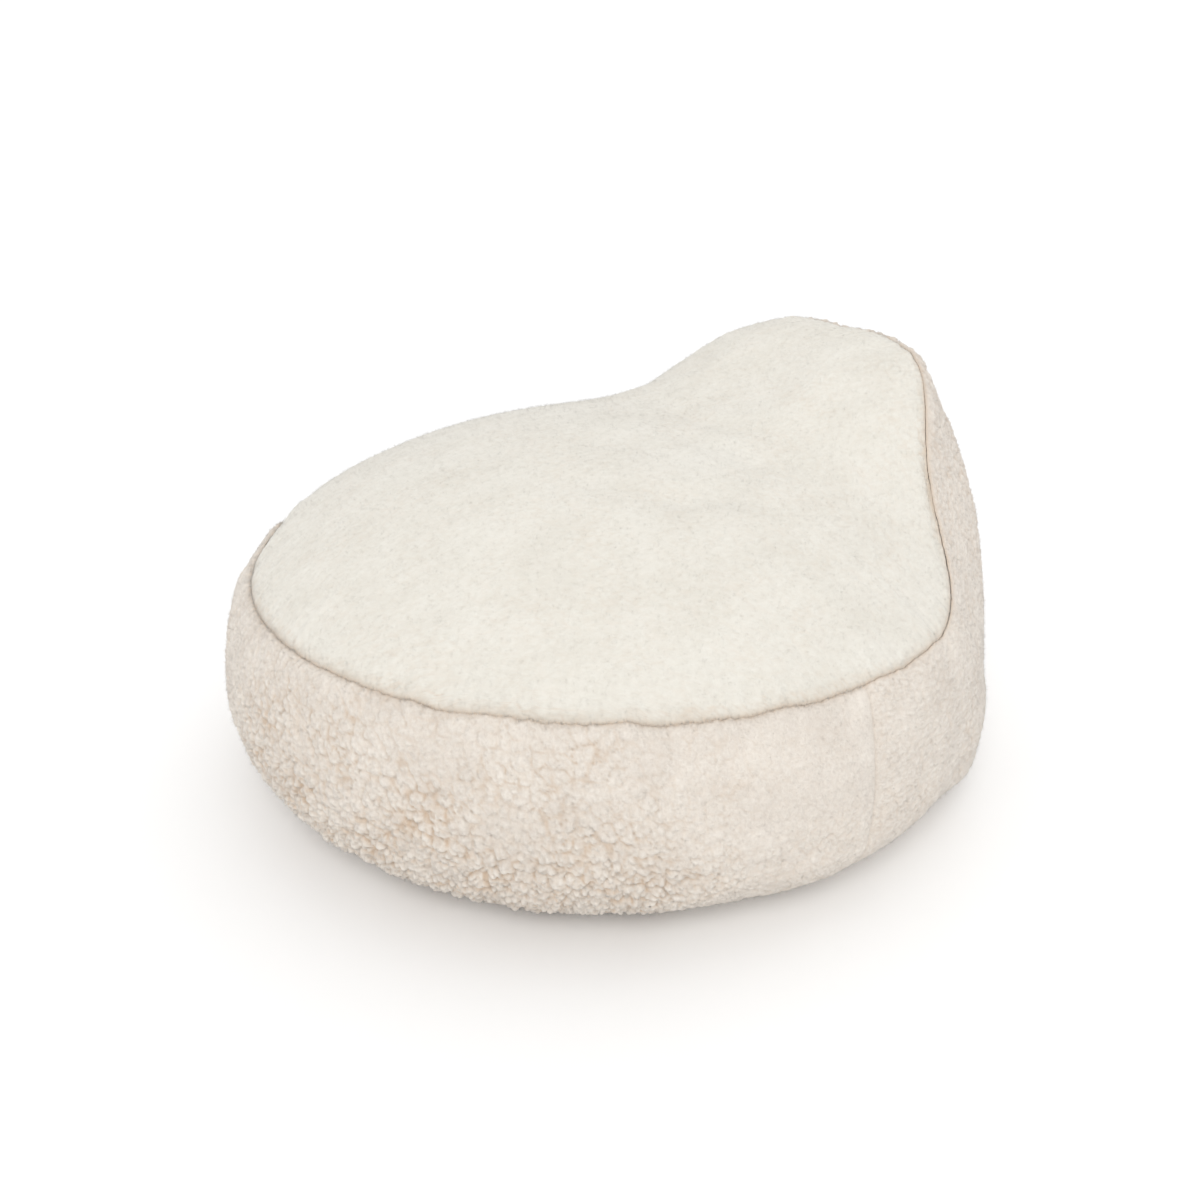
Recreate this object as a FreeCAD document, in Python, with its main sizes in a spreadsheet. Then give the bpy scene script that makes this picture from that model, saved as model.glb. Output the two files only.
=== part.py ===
import FreeCAD, Part
import math
import os
import Sketcher

# A round, stuffed pet cushion bed with a raised back, in millimetres.
# The origin is the centre of the underside, +Z is up, and the raised back is at +Y.
# Plan angles are measured from +Y (the middle of the back) towards +X.

V = FreeCAD.Vector
Z_AXIS = V(0, 0, 1)

os.makedirs("parts", exist_ok=True)
doc = FreeCAD.newDocument("pet_cushion_bed")

# ---------------------------------------------------------------- driving dimensions

DIMENSIONS = {
    # outer form
    "band_radius": 334,
    "belly_front": 26,
    "belly_back_extra": 25,
    "belly_power": 2.6,
    "roll_height": 69,
    "roll_depth": 50,
    "roll_power": 2.2,
    "seam_radius_front": 336,
    "seam_radius_back": 310,
    "seam_radius_flank": -32,
    "seam_height_front": 200,
    "seam_height_back": 368,
    "rise_full_angle": 5,
    "rise_end_angle": 79,
    "seat_crown": 115,
    "back_crown": 7,
    "rise_start": 0.1,
    # layers of cloth
    "cover_thick": 4,
    "base_thick": 3,
    "layer_gap": 0.3,
    "allowance_thick": 1,
    "allowance_width": 11,
    "liner_inset_side": 9,
    "liner_inset_top": 5,
    "liner_thick": 1,
    "liner_base_extra": 5,
    "baffle_front": 120,
    "baffle_thick": 1.2,
    # zip round the back, near the floor
    "zip_height": 62,
    "zip_coil_radius": 355.7,
    "zip_cover_radius": 359,
    "zip_window_half": 8,
    "zip_window_inner": 330,
    "zip_window_outer": 400,
    "zip_flat_full_angle": 56,
    "zip_flat_end_angle": 74,
    "zip_flat_full_height": 16,
    "zip_flat_end_height": 50,
    "zip_window_angle": 54,
    "zip_coil_angle": 51,
    "zip_travel_angle": 49.5,
    "zip_tape_angle": 55.5,
    "coil_thick": 1.1,
    "coil_offset": 1.95,
    "tape_offset": 1.5,
    "tape_thick": 0.7,
    "tape_edge": 0.7,
    "tape_width": 13.3,
    "welt_edge": 5.2,
    "welt_width": 2.5,
    "welt_inner": 354.8,
    "welt_outer": 358,
    "welt_end_gap": 0.2,
    "stop_length": 3,
    "stop_height": 7,
    "stop_depth": 2.6,
    "stop_turn_gap": 0.1,
    "stop_back_gap": 0.2,
    "stop_chamfer": 0.4,
    # slider and pull
    "slider_length": 13,
    "slider_width": 8.4,
    "plate_thick": 1.2,
    "plate_lift": 1.5,
    "plate_drop": 2.5,
    "flange_thick": 0.75,
    "flange_drop": 0.9,
    "bridge_width": 0.9,
    "bridge_length": 3,
    "crown_length": 5,
    "crown_width": 1.6,
    "crown_rise": 3.4,
    "crown_hole_length": 3,
    "crown_hole_rise": 2.4,
    "pull_lift": 3.9,
    "pull_length": 24,
    "pull_width": 6.4,
    "pull_tip_width": 8,
    "pull_thick": 1.2,
    "pull_bar": 0.65,
    "pull_window_length": 3.6,
    "pull_window_width": 3.2,
    "pull_hole_radius": 1.5,
    "pull_shoulder": 1,
    "pull_tip_length": 3,
    "pull_tip_cut": 2,
    "pull_hole_inset": 4.5,
    # care label
    "label_height": 45,
    "label_width": 28,
    "label_thick": 0.5,
    "label_centre": 112,
    "label_inset": 362,
}

sheet = doc.addObject("Spreadsheet::Sheet", "Dimensions")
for row, (alias, value) in enumerate(DIMENSIONS.items(), start=1):
    sheet.set(f"A{row}", alias)
    sheet.set(f"B{row}", str(value))
    sheet.setAlias(f"B{row}", alias)
doc.recompute()


def dim(alias):
    return float(getattr(sheet, alias))


# ---------------------------------------------------------------- the outer form


def smooth_step(x):
    x = min(max(x, 0.0), 1.0)
    return x * x * x * (10 - 15 * x + 6 * x * x)


def back_share(angle):
    """1 across the middle of the raised back, falling smoothly to 0 along the front."""
    turned = math.degrees(abs(math.atan2(math.sin(angle), math.cos(angle))))
    end = dim("rise_end_angle")
    return smooth_step((end - turned) / (end - dim("rise_full_angle")))


def seam_radius(angle):
    share = back_share(angle)
    straight = dim("seam_radius_front") * (1 - share) + dim("seam_radius_back") * share
    return straight + dim("seam_radius_flank") * math.sin(math.pi * share)


def seam_height(angle):
    share = back_share(angle)
    return dim("seam_height_front") * (1 - share) + dim("seam_height_back") * share


def zip_flat(angle, height):
    """How far the band is drawn to a true cylinder so that the zip runs on an arc."""
    turned = math.degrees(abs(math.atan2(math.sin(angle), math.cos(angle))))
    end_angle = dim("zip_flat_end_angle")
    end_height = dim("zip_flat_end_height")
    beside = abs(height - dim("zip_height"))
    along = smooth_step((end_angle - turned) / (end_angle - dim("zip_flat_full_angle")))
    across = smooth_step((end_height - beside) / (end_height - dim("zip_flat_full_height")))
    return along * across


def band_radius(angle, height):
    """Distance of the side band from the axis; above the top seam it runs straight up."""
    part_way = height / seam_height(angle)
    bulge = 1 - abs(2 * min(part_way, 1) - 1) ** dim("belly_power")
    belly = dim("belly_front") + dim("belly_back_extra") * back_share(angle)
    roll = dim("roll_depth") * max(0, 1 - height / dim("roll_height")) ** dim("roll_power")
    lean = (seam_radius(angle) - dim("band_radius")) * part_way
    free = dim("band_radius") + lean + belly * bulge - roll
    share = zip_flat(angle, height)
    return free * (1 - share) + dim("zip_cover_radius") * share


def top_height(x, y):
    """Height of the crowned seat and the raised back over a point of the plan."""
    angle = math.atan2(x, y)
    out = math.hypot(x, y) / seam_radius(angle)
    rise_start = dim("rise_start")
    climb = smooth_step((out - rise_start) / (1 - rise_start))
    share = back_share(angle) * climb
    crown = dim("seat_crown") * (1 - share) + dim("back_crown") * share
    seat = dim("seam_height_front")
    return seat + (seam_height(angle) - seat) * climb + crown * (1 - out * out)


def on_band(angle, height, inset):
    radius = band_radius(angle, height) - inset
    return V(radius * math.sin(angle), radius * math.cos(angle), height)


def smooth_surface(grid):
    """A cubic surface that follows a grid of points closely without rippling between them."""
    knots = []
    mults = []
    for count in (len(grid), len(grid[0])):
        knots.append(list(range(count - 2)))
        mults.append([4] + [1] * (count - 4) + [4])
    surface = Part.BSplineSurface()
    surface.buildFromPolesMultsKnots(grid, mults[0], mults[1], knots[0], knots[1], False, False, 3, 3)
    return surface


def thick_sheet(outer, inner):
    """A closed solid between two grids of points of the same size."""
    surfaces = [smooth_surface(outer), smooth_surface(inner)]
    faces = [surface.toShape() for surface in surfaces]
    u_low, u_high, v_low, v_high = surfaces[0].bounds()
    for across, along in ((0, u_low), (0, u_high), (1, v_low), (1, v_high)):
        rims = []
        for surface in surfaces:
            rim = surface.vIso(along) if across else surface.uIso(along)
            rims.append(rim.toShape())
        faces.append(Part.makeRuledSurface(*rims))
    shell = Part.makeShell(faces)
    shell.sewShape()
    solid = Part.makeSolid(shell)
    return solid if solid.Volume > 0 else solid.reversed()


# Rows of points lie closer together near the floor, where the band rolls under.
LOW_CROWDING = 1.4


def band_sheet(start, end, foot, head, inset, thickness, columns, rows):
    """A length of upright cloth from one plan angle to another, in degrees.

    foot and head give the edge heights at a plan angle."""
    grids = []
    for depth in (inset, inset + thickness):
        grid = []
        for column in range(columns):
            angle = math.radians(start + (end - start) * column / (columns - 1))
            low = foot(angle)
            high = head(angle)
            shares = [(row / (rows - 1)) ** LOW_CROWDING for row in range(rows)]
            heights = [low + (high - low) * share for share in shares]
            grid.append([on_band(angle, height, depth) for height in heights])
        grids.append(grid)
    return thick_sheet(*grids)


def disc_sheet(inset_side, drop, thickness, columns):
    """A sheet of cloth over the whole seat and back, out to the top seam."""
    grids = []
    steps = [2 * index / (columns - 1) - 1 for index in range(columns)]
    for lowered in (drop, drop + thickness):
        grid = []
        for across in steps:
            line = []
            for along in steps:
                disc_x = across * math.sqrt(1 - along * along / 2)
                disc_y = along * math.sqrt(1 - across * across / 2)
                reach = seam_radius(math.atan2(disc_x, disc_y)) - inset_side
                x = reach * disc_x
                y = reach * disc_y
                line.append(V(x, y, top_height(x, y) - lowered))
            grid.append(line)
        grids.append(grid)
    return thick_sheet(*grids)


RING_HEIGHTS = [-10, 0, 8, 18, 31, 46, 62, 80, 105, 135, 170, 210, 250, 290, 330, 370, 410]
RING_POINTS = 56
FIELD_HALF = 420
FIELD_POINTS = 41
DEEP = 800


def side_form(inset):
    """A closed solid inside the band, taken in all round by the inset."""
    rings = []
    for height in RING_HEIGHTS:
        turns = [2 * math.pi * step / RING_POINTS for step in range(RING_POINTS)]
        ring = Part.BSplineCurve()
        ring.interpolate(Points=[on_band(turn, height, inset) for turn in turns],
                         PeriodicFlag=True)
        rings.append(Part.Wire(ring.toShape()))
    return Part.makeLoft(rings, True, False)


def under_form(inset):
    """Everything below the seat and back surface, lowered by the inset."""
    step = 2 * FIELD_HALF / (FIELD_POINTS - 1)
    places = [-FIELD_HALF + step * index for index in range(FIELD_POINTS)]
    rows = [[V(x, y, top_height(x, y) - inset) for y in places] for x in places]
    return smooth_surface(rows).toShape().extrude(V(0, 0, -DEEP))


def hold(name, shape):
    feature = doc.addObject("Part::Feature", name)
    feature.Shape = shape
    return feature


def common(name, base, tool):
    feature = doc.addObject("Part::Common", name)
    feature.Base = base
    feature.Tool = tool
    return feature


def cut(name, base, tool):
    feature = doc.addObject("Part::Cut", name)
    feature.Base = base
    feature.Tool = tool
    return feature


def fuse(name, pieces):
    feature = doc.addObject("Part::MultiFuse", name)
    feature.Shapes = pieces
    return feature


def block(name, x, y, z):
    """A box between two expressions on each axis, bound to the sheet."""
    box = doc.addObject("Part::Box", name)
    for side, axis, (low, high) in zip(("Length", "Width", "Height"), "xyz", (x, y, z)):
        box.setExpression(side, f"({high}) - ({low})")
        box.setExpression(f"Placement.Base.{axis}", low)
    return box


D = "Dimensions."
REACH = "500"

# ---------------------------------------------------------------- cloth layers

GAP = dim("layer_gap")
COVER = dim("cover_thick")
ALLOWANCE = dim("allowance_thick")
ALLOWANCE_INSET = COVER + 3 * GAP
STRIP = dim("allowance_width")
LINER_SIDE = dim("liner_inset_side")
LINER_TOP = dim("liner_inset_top")
LINER = dim("liner_thick")
FOOT = dim("base_thick") + GAP
ACROSS = (f"-{REACH}", REACH)


def level(height):
    return lambda angle: height


def below_seam(drop):
    return lambda angle: seam_height(angle) - drop


# The top panel is one sheet that covers the seat and runs up over the back.
top_panel = hold("top_panel", disc_sheet(0, 0, COVER, 41))

# The band stands between the base and the top panel, in two lengths joined at the sides.
SIDE_SEAM = 90
SEAM_TURN = 0.05
band_top = below_seam(COVER + GAP)
front_band = hold("front_band", band_sheet(SIDE_SEAM + SEAM_TURN, 360 - SIDE_SEAM - SEAM_TURN,
                                           level(FOOT), band_top, 0, COVER, 41, 25))
back_length = hold("back_length", band_sheet(SEAM_TURN - SIDE_SEAM, SIDE_SEAM - SEAM_TURN,
                                             level(FOOT), band_top, 0, COVER, 57, 37))

# The base is a flat disc that the band turns under to meet.
base_panel = doc.addObject("Part::Cone", "base_panel")
base_panel.setExpression("Radius1", f"{D}band_radius - {D}roll_depth")
base_panel.setExpression("Radius2", f"{D}band_radius - {D}roll_depth + 2 * {D}base_thick")
base_panel.setExpression("Height", f"{D}base_thick")


def seam_strips(name, foot, head):
    """The turned-in edges behind a seam that runs right round, one strip for each band."""
    strips = []
    for start, end in ((SEAM_TURN - SIDE_SEAM, SIDE_SEAM - SEAM_TURN),
                       (SIDE_SEAM + SEAM_TURN, 360 - SIDE_SEAM - SEAM_TURN)):
        strips.append(band_sheet(start, end, foot, head, ALLOWANCE_INSET, ALLOWANCE, 41, 4))
    return hold(name, Part.makeCompound(strips))


top_seam_allowance = seam_strips("top_seam_allowance", below_seam(COVER + 2 * GAP + STRIP),
                                 below_seam(COVER + 2 * GAP))
base_seam_allowance = seam_strips("base_seam_allowance", level(FOOT), level(FOOT + STRIP))
side_allowances = []
for side_name, middle in (("right", SIDE_SEAM), ("left", -SIDE_SEAM)):
    side_allowances.append(hold(f"side_seam_allowance_{side_name}", band_sheet(
        middle - 1, middle + 1, level(FOOT + STRIP + GAP), below_seam(COVER + 3 * GAP + STRIP),
        ALLOWANCE_INSET, ALLOWANCE, 4, 12)))

# The liner is the sewn inner bag that keeps the filling in when the cover is off.
LINER_FOOT = f"{D}base_thick + 2 * {D}layer_gap"
LINER_HEAD = f"{LINER_FOOT} + {D}liner_thick"
liner_top = hold("liner_top", disc_sheet(LINER_SIDE, LINER_TOP, LINER, 41))
liner_walls = []
for start, end in ((SEAM_TURN - SIDE_SEAM, SIDE_SEAM - SEAM_TURN),
                   (SIDE_SEAM + SEAM_TURN, 360 - SIDE_SEAM - SEAM_TURN)):
    liner_walls.append(band_sheet(start, end, level(FOOT + 2 * GAP + LINER),
                                  below_seam(LINER_TOP + LINER + GAP), LINER_SIDE, LINER, 49, 33))
liner_band = hold("liner_band", Part.makeCompound(liner_walls))
liner_base = doc.addObject("Part::Cylinder", "liner_base")
liner_base.setExpression("Radius", f"{D}band_radius - {D}roll_depth - {D}liner_inset_side"
                         f" + {D}liner_base_extra")
liner_base.setExpression("Height", f"{D}liner_thick")
liner_base.setExpression("Placement.Base.z", LINER_FOOT)

# The filling is in two chambers with a sewn baffle between seat and back.
fill_side = hold("fill_side", side_form(LINER_SIDE + LINER + 12 * GAP))
fill_under = hold("fill_under", under_form(LINER_TOP + LINER + 3 * GAP))
fill_body = common("fill_body", fill_side, fill_under)
FILL_FOOT = f"{LINER_HEAD} + {D}layer_gap"
seat_zone = block("seat_zone", ACROSS,
                  (f"-{REACH}", f"{D}baffle_front - {D}layer_gap"), (FILL_FOOT, REACH))
baffle_zone = block("baffle_zone", ACROSS,
                    (f"{D}baffle_front", f"{D}baffle_front + {D}baffle_thick"), (FILL_FOOT, REACH))
back_zone = block("back_zone", ACROSS,
                  (f"{D}baffle_front + {D}baffle_thick + {D}layer_gap", REACH), (FILL_FOOT, REACH))
seat_fill = common("seat_fill", fill_body, seat_zone)
baffle = common("baffle", fill_body, baffle_zone)
backrest_fill = common("backrest_fill", fill_body, back_zone)

# ---------------------------------------------------------------- zip


def sector_cylinder(name, radius, low, high, half_angle):
    """A slice of a cylinder about the Z axis, centred on the middle of the back."""
    slice_ = doc.addObject("Part::Cylinder", name)
    slice_.Placement = FreeCAD.Placement(V(0, 0, 0), FreeCAD.Rotation(Z_AXIS, 1))
    slice_.setExpression("Radius", radius)
    slice_.setExpression("Height", f"({high}) - ({low})")
    slice_.setExpression("Angle", f"2 * ({half_angle})")
    slice_.setExpression("Placement.Base.z", low)
    slice_.setExpression("Placement.Rotation.Angle", f"90 - ({half_angle})")
    return slice_


def sector_ring(name, inner, outer, low, high, half_angle):
    """A curved strip: the outer slice less the inner one."""
    outside = sector_cylinder(f"{name}_outside", outer, low, high, half_angle)
    inside = sector_cylinder(f"{name}_inside", inner, low, high, half_angle)
    return cut(name, outside, inside)


ZH = f"{D}zip_height"
window_low = f"{ZH} - {D}zip_window_half"
window_high = f"{ZH} + {D}zip_window_half"
window = sector_ring("zip_window", f"{D}zip_window_inner", f"{D}zip_window_outer",
                     window_low, window_high, f"{D}zip_window_angle")
back_band = cut("back_band", back_length, window)

TAPE_OUT = f"{D}zip_coil_radius - {D}tape_offset"
TAPE_IN = f"{TAPE_OUT} - {D}tape_thick"
zip_strips = []
for place, sign in (("upper", 1), ("lower", -1)):

    def span(near, width):
        """Lowest and highest edge of a strip that starts this far from the zip's middle."""
        if sign > 0:
            return f"{ZH} + {near}", f"{ZH} + {near} + {width}"
        return f"{ZH} - {near} - {width}", f"{ZH} - {near}"

    tape_low, tape_high = span(f"{D}tape_edge", f"{D}tape_width")
    zip_strips.append(sector_ring(f"zip_tape_{place}", TAPE_IN, TAPE_OUT, tape_low, tape_high,
                                  f"{D}zip_tape_angle"))
    welt_low, welt_high = span(f"{D}welt_edge", f"{D}welt_width")
    zip_strips.append(sector_ring(f"zip_welt_{place}", f"{D}welt_inner", f"{D}welt_outer",
                                  welt_low, welt_high, f"{D}zip_window_angle - {D}welt_end_gap"))
    coil = doc.addObject("Part::Torus", f"zip_coil_{place}")
    coil.Placement = FreeCAD.Placement(V(0, 0, 0), FreeCAD.Rotation(Z_AXIS, 1))
    coil.setExpression("Radius1", f"{D}zip_coil_radius")
    coil.setExpression("Radius2", f"{D}coil_thick")
    coil.setExpression("Angle3", f"2 * {D}zip_coil_angle")
    coil.setExpression("Placement.Base.z", f"{ZH} + {sign} * {D}coil_offset")
    coil.setExpression("Placement.Rotation.Angle", f"90 - {D}zip_coil_angle")
    zip_strips.append(coil)


def at_zip(angle, radius):
    """Placement on the zip's arc, local +Y outwards and local +X towards larger angles."""
    turn = math.radians(angle)
    point = V(radius * math.sin(turn), radius * math.cos(turn), dim("zip_height"))
    return FreeCAD.Placement(point, FreeCAD.Rotation(Z_AXIS, -angle))


# The stops are crimped over both coils just past the slider's travel.
stop_half_turn = math.degrees(dim("stop_length") / 2 / dim("zip_coil_radius"))
stop_turn = dim("zip_coil_angle") + dim("stop_turn_gap") + stop_half_turn
stops = []
for stop_name, stop_angle in (("zip_top_stop", stop_turn), ("zip_bottom_stop", -stop_turn)):
    raw = doc.addObject("Part::Box", f"{stop_name}_block")
    raw.setExpression("Length", f"{D}stop_length")
    raw.setExpression("Width", f"{D}stop_depth")
    raw.setExpression("Height", f"{D}stop_height")
    offset = V(-dim("stop_length") / 2, -dim("coil_thick") - dim("stop_back_gap"),
               -dim("stop_height") / 2)
    raw.Placement = at_zip(stop_angle, dim("zip_coil_radius")).multiply(
        FreeCAD.Placement(offset, FreeCAD.Rotation()))
    doc.recompute()
    rounded = doc.addObject("Part::Chamfer", stop_name)
    rounded.Base = raw
    chamfer = dim("stop_chamfer")
    rounded.Edges = [(index + 1, chamfer, chamfer) for index in range(len(raw.Shape.Edges))]
    stops.append(rounded)

# ---------------------------------------------------------------- slider

half_length = f"{D}slider_length / 2"
half_width = f"{D}slider_width / 2"
plate_top = f"{D}plate_lift + {D}plate_thick"
slider_blocks = [
    block("slider_top_plate", (f"-{half_length}", half_length), (f"{D}plate_lift", plate_top),
          (f"-{half_width}", half_width)),
    block("slider_back_plate", (f"-{half_length}", half_length),
          (f"-{D}plate_drop - {D}plate_thick", f"-{D}plate_drop"), (f"-{half_width}", half_width)),
    block("slider_bridge", (f"{half_length} - {D}bridge_length", half_length),
          (f"-{D}plate_drop", f"{D}plate_lift"), (f"-{D}bridge_width / 2", f"{D}bridge_width / 2")),
    block("slider_flange_upper", (f"-{half_length}", half_length),
          (f"-{D}flange_drop", f"{D}plate_lift"), (f"{half_width} - {D}flange_thick", half_width)),
    block("slider_flange_lower", (f"-{half_length}", half_length),
          (f"-{D}flange_drop", f"{D}plate_lift"), (f"-{half_width}", f"{D}flange_thick - {half_width}")),
    block("slider_crown", (f"-{D}crown_length / 2", f"{D}crown_length / 2"),
          (plate_top, f"{plate_top} + {D}crown_rise"), (f"-{D}crown_width / 2", f"{D}crown_width / 2")),
]
slider_solid = fuse("slider_solid", slider_blocks)
crown_hole = block("slider_crown_hole", (f"-{D}crown_hole_length / 2", f"{D}crown_hole_length / 2"),
                   (plate_top, f"{plate_top} + {D}crown_hole_rise"), (f"-{D}crown_width", f"{D}crown_width"))
zip_slider = cut("zip_slider", slider_solid, crown_hole)
zip_slider.Placement = at_zip(dim("zip_travel_angle"), dim("zip_coil_radius"))

# ---------------------------------------------------------------- pull tab

pull = doc.addObject("PartDesign::Body", "zip_pull_tab")


def pull_sketch(name):
    """A sketch in the plane of the tab: across is along the zip, up is the zip's width."""
    sketch = pull.newObject("Sketcher::SketchObject", name)
    plane = [item for item in pull.Origin.OriginFeatures if item.Role == "XZ_Plane"][0]
    sketch.AttachmentSupport = [(plane, "")]
    sketch.MapMode = "FlatFace"
    return sketch


def outline(sketch, corners):
    """A closed outline whose corners are held by expressions on both axes."""
    count = len(corners)
    for index in range(count):
        here = V(-1 - index, 1 + index, 0)
        there = V(-2 - index, 2 + index, 0)
        sketch.addGeometry(Part.LineSegment(here, there), False)
    for index in range(count):
        sketch.addConstraint(Sketcher.Constraint("Coincident", index, 2, (index + 1) % count, 1))
    for index, (x, y) in enumerate(corners):
        for kind, expression in (("DistanceX", x), ("DistanceY", y)):
            place = sketch.addConstraint(Sketcher.Constraint(kind, -1, 1, index, 1, 1.0))
            sketch.setExpression(f"Constraints[{place}]", expression)


tip = f"-{D}pull_length"
tip_start = f"{tip} + {D}pull_tip_length"
shoulder = f"-{D}pull_window_length - {D}pull_shoulder"
body_half = f"{D}pull_width / 2"
tip_half = f"{D}pull_tip_width / 2"
tab_outline = pull_sketch("tab_outline")
outline(tab_outline, [
    (f"{D}pull_bar", f"-{body_half}"),
    (f"{D}pull_bar", body_half),
    (shoulder, body_half),
    (tip_start, tip_half),
    (tip, f"{tip_half} - {D}pull_tip_cut"),
    (tip, f"{D}pull_tip_cut - {tip_half}"),
    (tip_start, f"-{tip_half}"),
    (shoulder, f"-{body_half}"),
])
tab_pad = pull.newObject("PartDesign::Pad", "tab_pad")
tab_pad.Profile = tab_outline
tab_pad.Midplane = True
tab_pad.setExpression("Length", f"{D}pull_thick")

window_sketch = pull_sketch("tab_window")
outline(window_sketch, [
    (f"-{D}pull_bar", f"-{D}pull_window_width / 2"),
    (f"-{D}pull_bar", f"{D}pull_window_width / 2"),
    (f"-{D}pull_window_length", f"{D}pull_window_width / 2"),
    (f"-{D}pull_window_length", f"-{D}pull_window_width / 2"),
])
tab_window = pull.newObject("PartDesign::Pocket", "tab_window_cut")
tab_window.Profile = window_sketch
tab_window.Midplane = True
tab_window.setExpression("Length", f"3 * {D}pull_thick")

hole_sketch = pull_sketch("tab_hole")
hole_centre = dim("pull_hole_inset") - dim("pull_length")
hole_sketch.addGeometry(Part.Circle(V(hole_centre, 0, 0), V(0, 0, 1), dim("pull_hole_radius")), False)
radius_place = hole_sketch.addConstraint(Sketcher.Constraint("Radius", 0, dim("pull_hole_radius")))
hole_sketch.setExpression(f"Constraints[{radius_place}]", f"{D}pull_hole_radius")
hole_x = hole_sketch.addConstraint(Sketcher.Constraint("DistanceX", -1, 1, 0, 3, hole_centre))
hole_sketch.setExpression(f"Constraints[{hole_x}]", f"{tip} + {D}pull_hole_inset")
hole_sketch.addConstraint(Sketcher.Constraint("PointOnObject", 0, 3, -1))
tab_hole = pull.newObject("PartDesign::Pocket", "tab_hole_cut")
tab_hole.Profile = hole_sketch
tab_hole.Midplane = True
tab_hole.setExpression("Length", f"3 * {D}pull_thick")
pull.Placement = at_zip(dim("zip_travel_angle"), dim("zip_coil_radius") + dim("pull_lift"))

# ---------------------------------------------------------------- care label

# A blank woven tab, caught in the side seam away from the zip's end.
care_label = block("care_label", (f"-{D}label_inset - {D}label_thick", f"-{D}label_inset"),
                   (f"-{D}label_width / 2", f"{D}label_width / 2"),
                   (f"{D}label_centre - {D}label_height / 2", f"{D}label_centre + {D}label_height / 2"))

# ---------------------------------------------------------------- check and write

NODES = [
    top_panel, front_band, back_band, base_panel,
    top_seam_allowance, base_seam_allowance, *side_allowances,
    liner_top, liner_band, liner_base,
    seat_fill, baffle, backrest_fill,
    *zip_strips, *stops, zip_slider, pull, care_label,
]

doc.recompute()
for item in doc.Objects:
    if "Invalid" in item.State or "Error" in item.State:
        raise SystemExit(f"{item.Label} failed: {item.State}")
for node in NODES:
    shape = node.Shape
    if shape.isNull() or not shape.isValid():
        raise SystemExit(f"{node.Label} has no valid shape")
    box = shape.BoundBox
    print(f"{node.Label:26s} solids {len(shape.Solids)}  volume {shape.Volume / 1000:9.2f} cm3  "
          f"x {box.XMin:7.1f} {box.XMax:7.1f}  y {box.YMin:7.1f} {box.YMax:7.1f}  "
          f"z {box.ZMin:6.1f} {box.ZMax:6.1f}")
for node in NODES:
    node.Shape.exportStep(f"parts/{node.Label}.step")
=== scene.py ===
# %% [markdown]
# # A round pet cushion bed in teddy fleece
# The bed is a stuffed cushion: a crowned, brushed seat that runs up over a raised back, a band of
# curly fleece round its side, a plain base cloth and a zip low across the back. The measured frame
# comes in first, and nothing in it is moved. Every new piece takes its place from that frame.

import math

import bpy
import numpy as np
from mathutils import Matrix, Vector, noise


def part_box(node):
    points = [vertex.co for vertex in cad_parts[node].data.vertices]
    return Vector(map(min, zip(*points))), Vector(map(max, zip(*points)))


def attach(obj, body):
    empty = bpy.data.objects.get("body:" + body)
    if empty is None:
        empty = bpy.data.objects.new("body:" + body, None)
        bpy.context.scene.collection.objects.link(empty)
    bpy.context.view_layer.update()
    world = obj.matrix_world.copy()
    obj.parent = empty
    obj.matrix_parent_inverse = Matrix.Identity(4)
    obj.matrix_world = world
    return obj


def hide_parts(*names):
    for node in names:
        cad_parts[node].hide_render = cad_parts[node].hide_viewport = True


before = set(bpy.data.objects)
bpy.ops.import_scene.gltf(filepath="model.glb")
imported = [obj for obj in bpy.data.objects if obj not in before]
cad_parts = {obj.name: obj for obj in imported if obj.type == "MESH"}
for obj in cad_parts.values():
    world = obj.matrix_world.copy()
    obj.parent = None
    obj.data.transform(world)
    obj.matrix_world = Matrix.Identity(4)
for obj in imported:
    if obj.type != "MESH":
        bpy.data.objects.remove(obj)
scene = bpy.context.scene
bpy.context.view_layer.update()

# %% [markdown]
# The driving sizes are read back from the frame's boxes, so that the cover follows the frame if the
# bed is made larger. Only the shape of the stuffing has numbers of its own: how far the band
# bellies out, how deep it rolls under, and how the seam climbs to the raised back.

# %% Sizes of the form
MM = 0.001
top_low, top_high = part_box("top_panel")
front_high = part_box("front_band")[1]
base_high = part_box("base_panel")[1]
SEAM_FRONT = -top_low.y
SEAM_BACK = top_high.y
SEAM_FLANK = -0.0323
SEAM_LOW = front_high.z + 4.7 * MM
SEAM_HIGH = top_high.z - 0.4 * MM
BAND = 0.334
BELLY_RADIUS = 0.355
BELLY_FRONT = 0.0262
BELLY_EXTRA = 0.0252
FLANK_TUCK, FLANK_TURN = 0.008, 66
SHOULDER, SHOULDER_TURN = 0.006, 38
BELLY_LOW, BELLY_HIGH = 0.5, 0.75
ROLL_DEPTH = 0.050
ROLL_HEIGHT = 0.069
CROWN_FRONT = 0.113
CROWN_BACK = 0.007
RISE_START = 0.1
RISE_FULL = math.radians(5)
RISE_END = math.radians(79)
FOOT = base_high.z + 0.3 * MM
ZIP_HEIGHT = sum(corner.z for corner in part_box("zip_slider")) / 2
ZIP_RADIUS = 0.359
ZIP_TURN = math.radians(54)
ZIP_FLAT_END = math.radians(74)
ZIP_FLAT_FADE = math.radians(18)
WINDOW = 8 * MM
SKIN = 3.5 * MM
print("seam radius front", round(SEAM_FRONT, 4), "back", round(SEAM_BACK, 4),
      "seam height", round(SEAM_LOW, 4), "to", round(SEAM_HIGH, 4))

# %% [markdown]
# A camera at a little above a standing dog's eye level looks down on the front right of the bed.
# The lens is a short normal one, so that the near edge looks larger than the far one.

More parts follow.
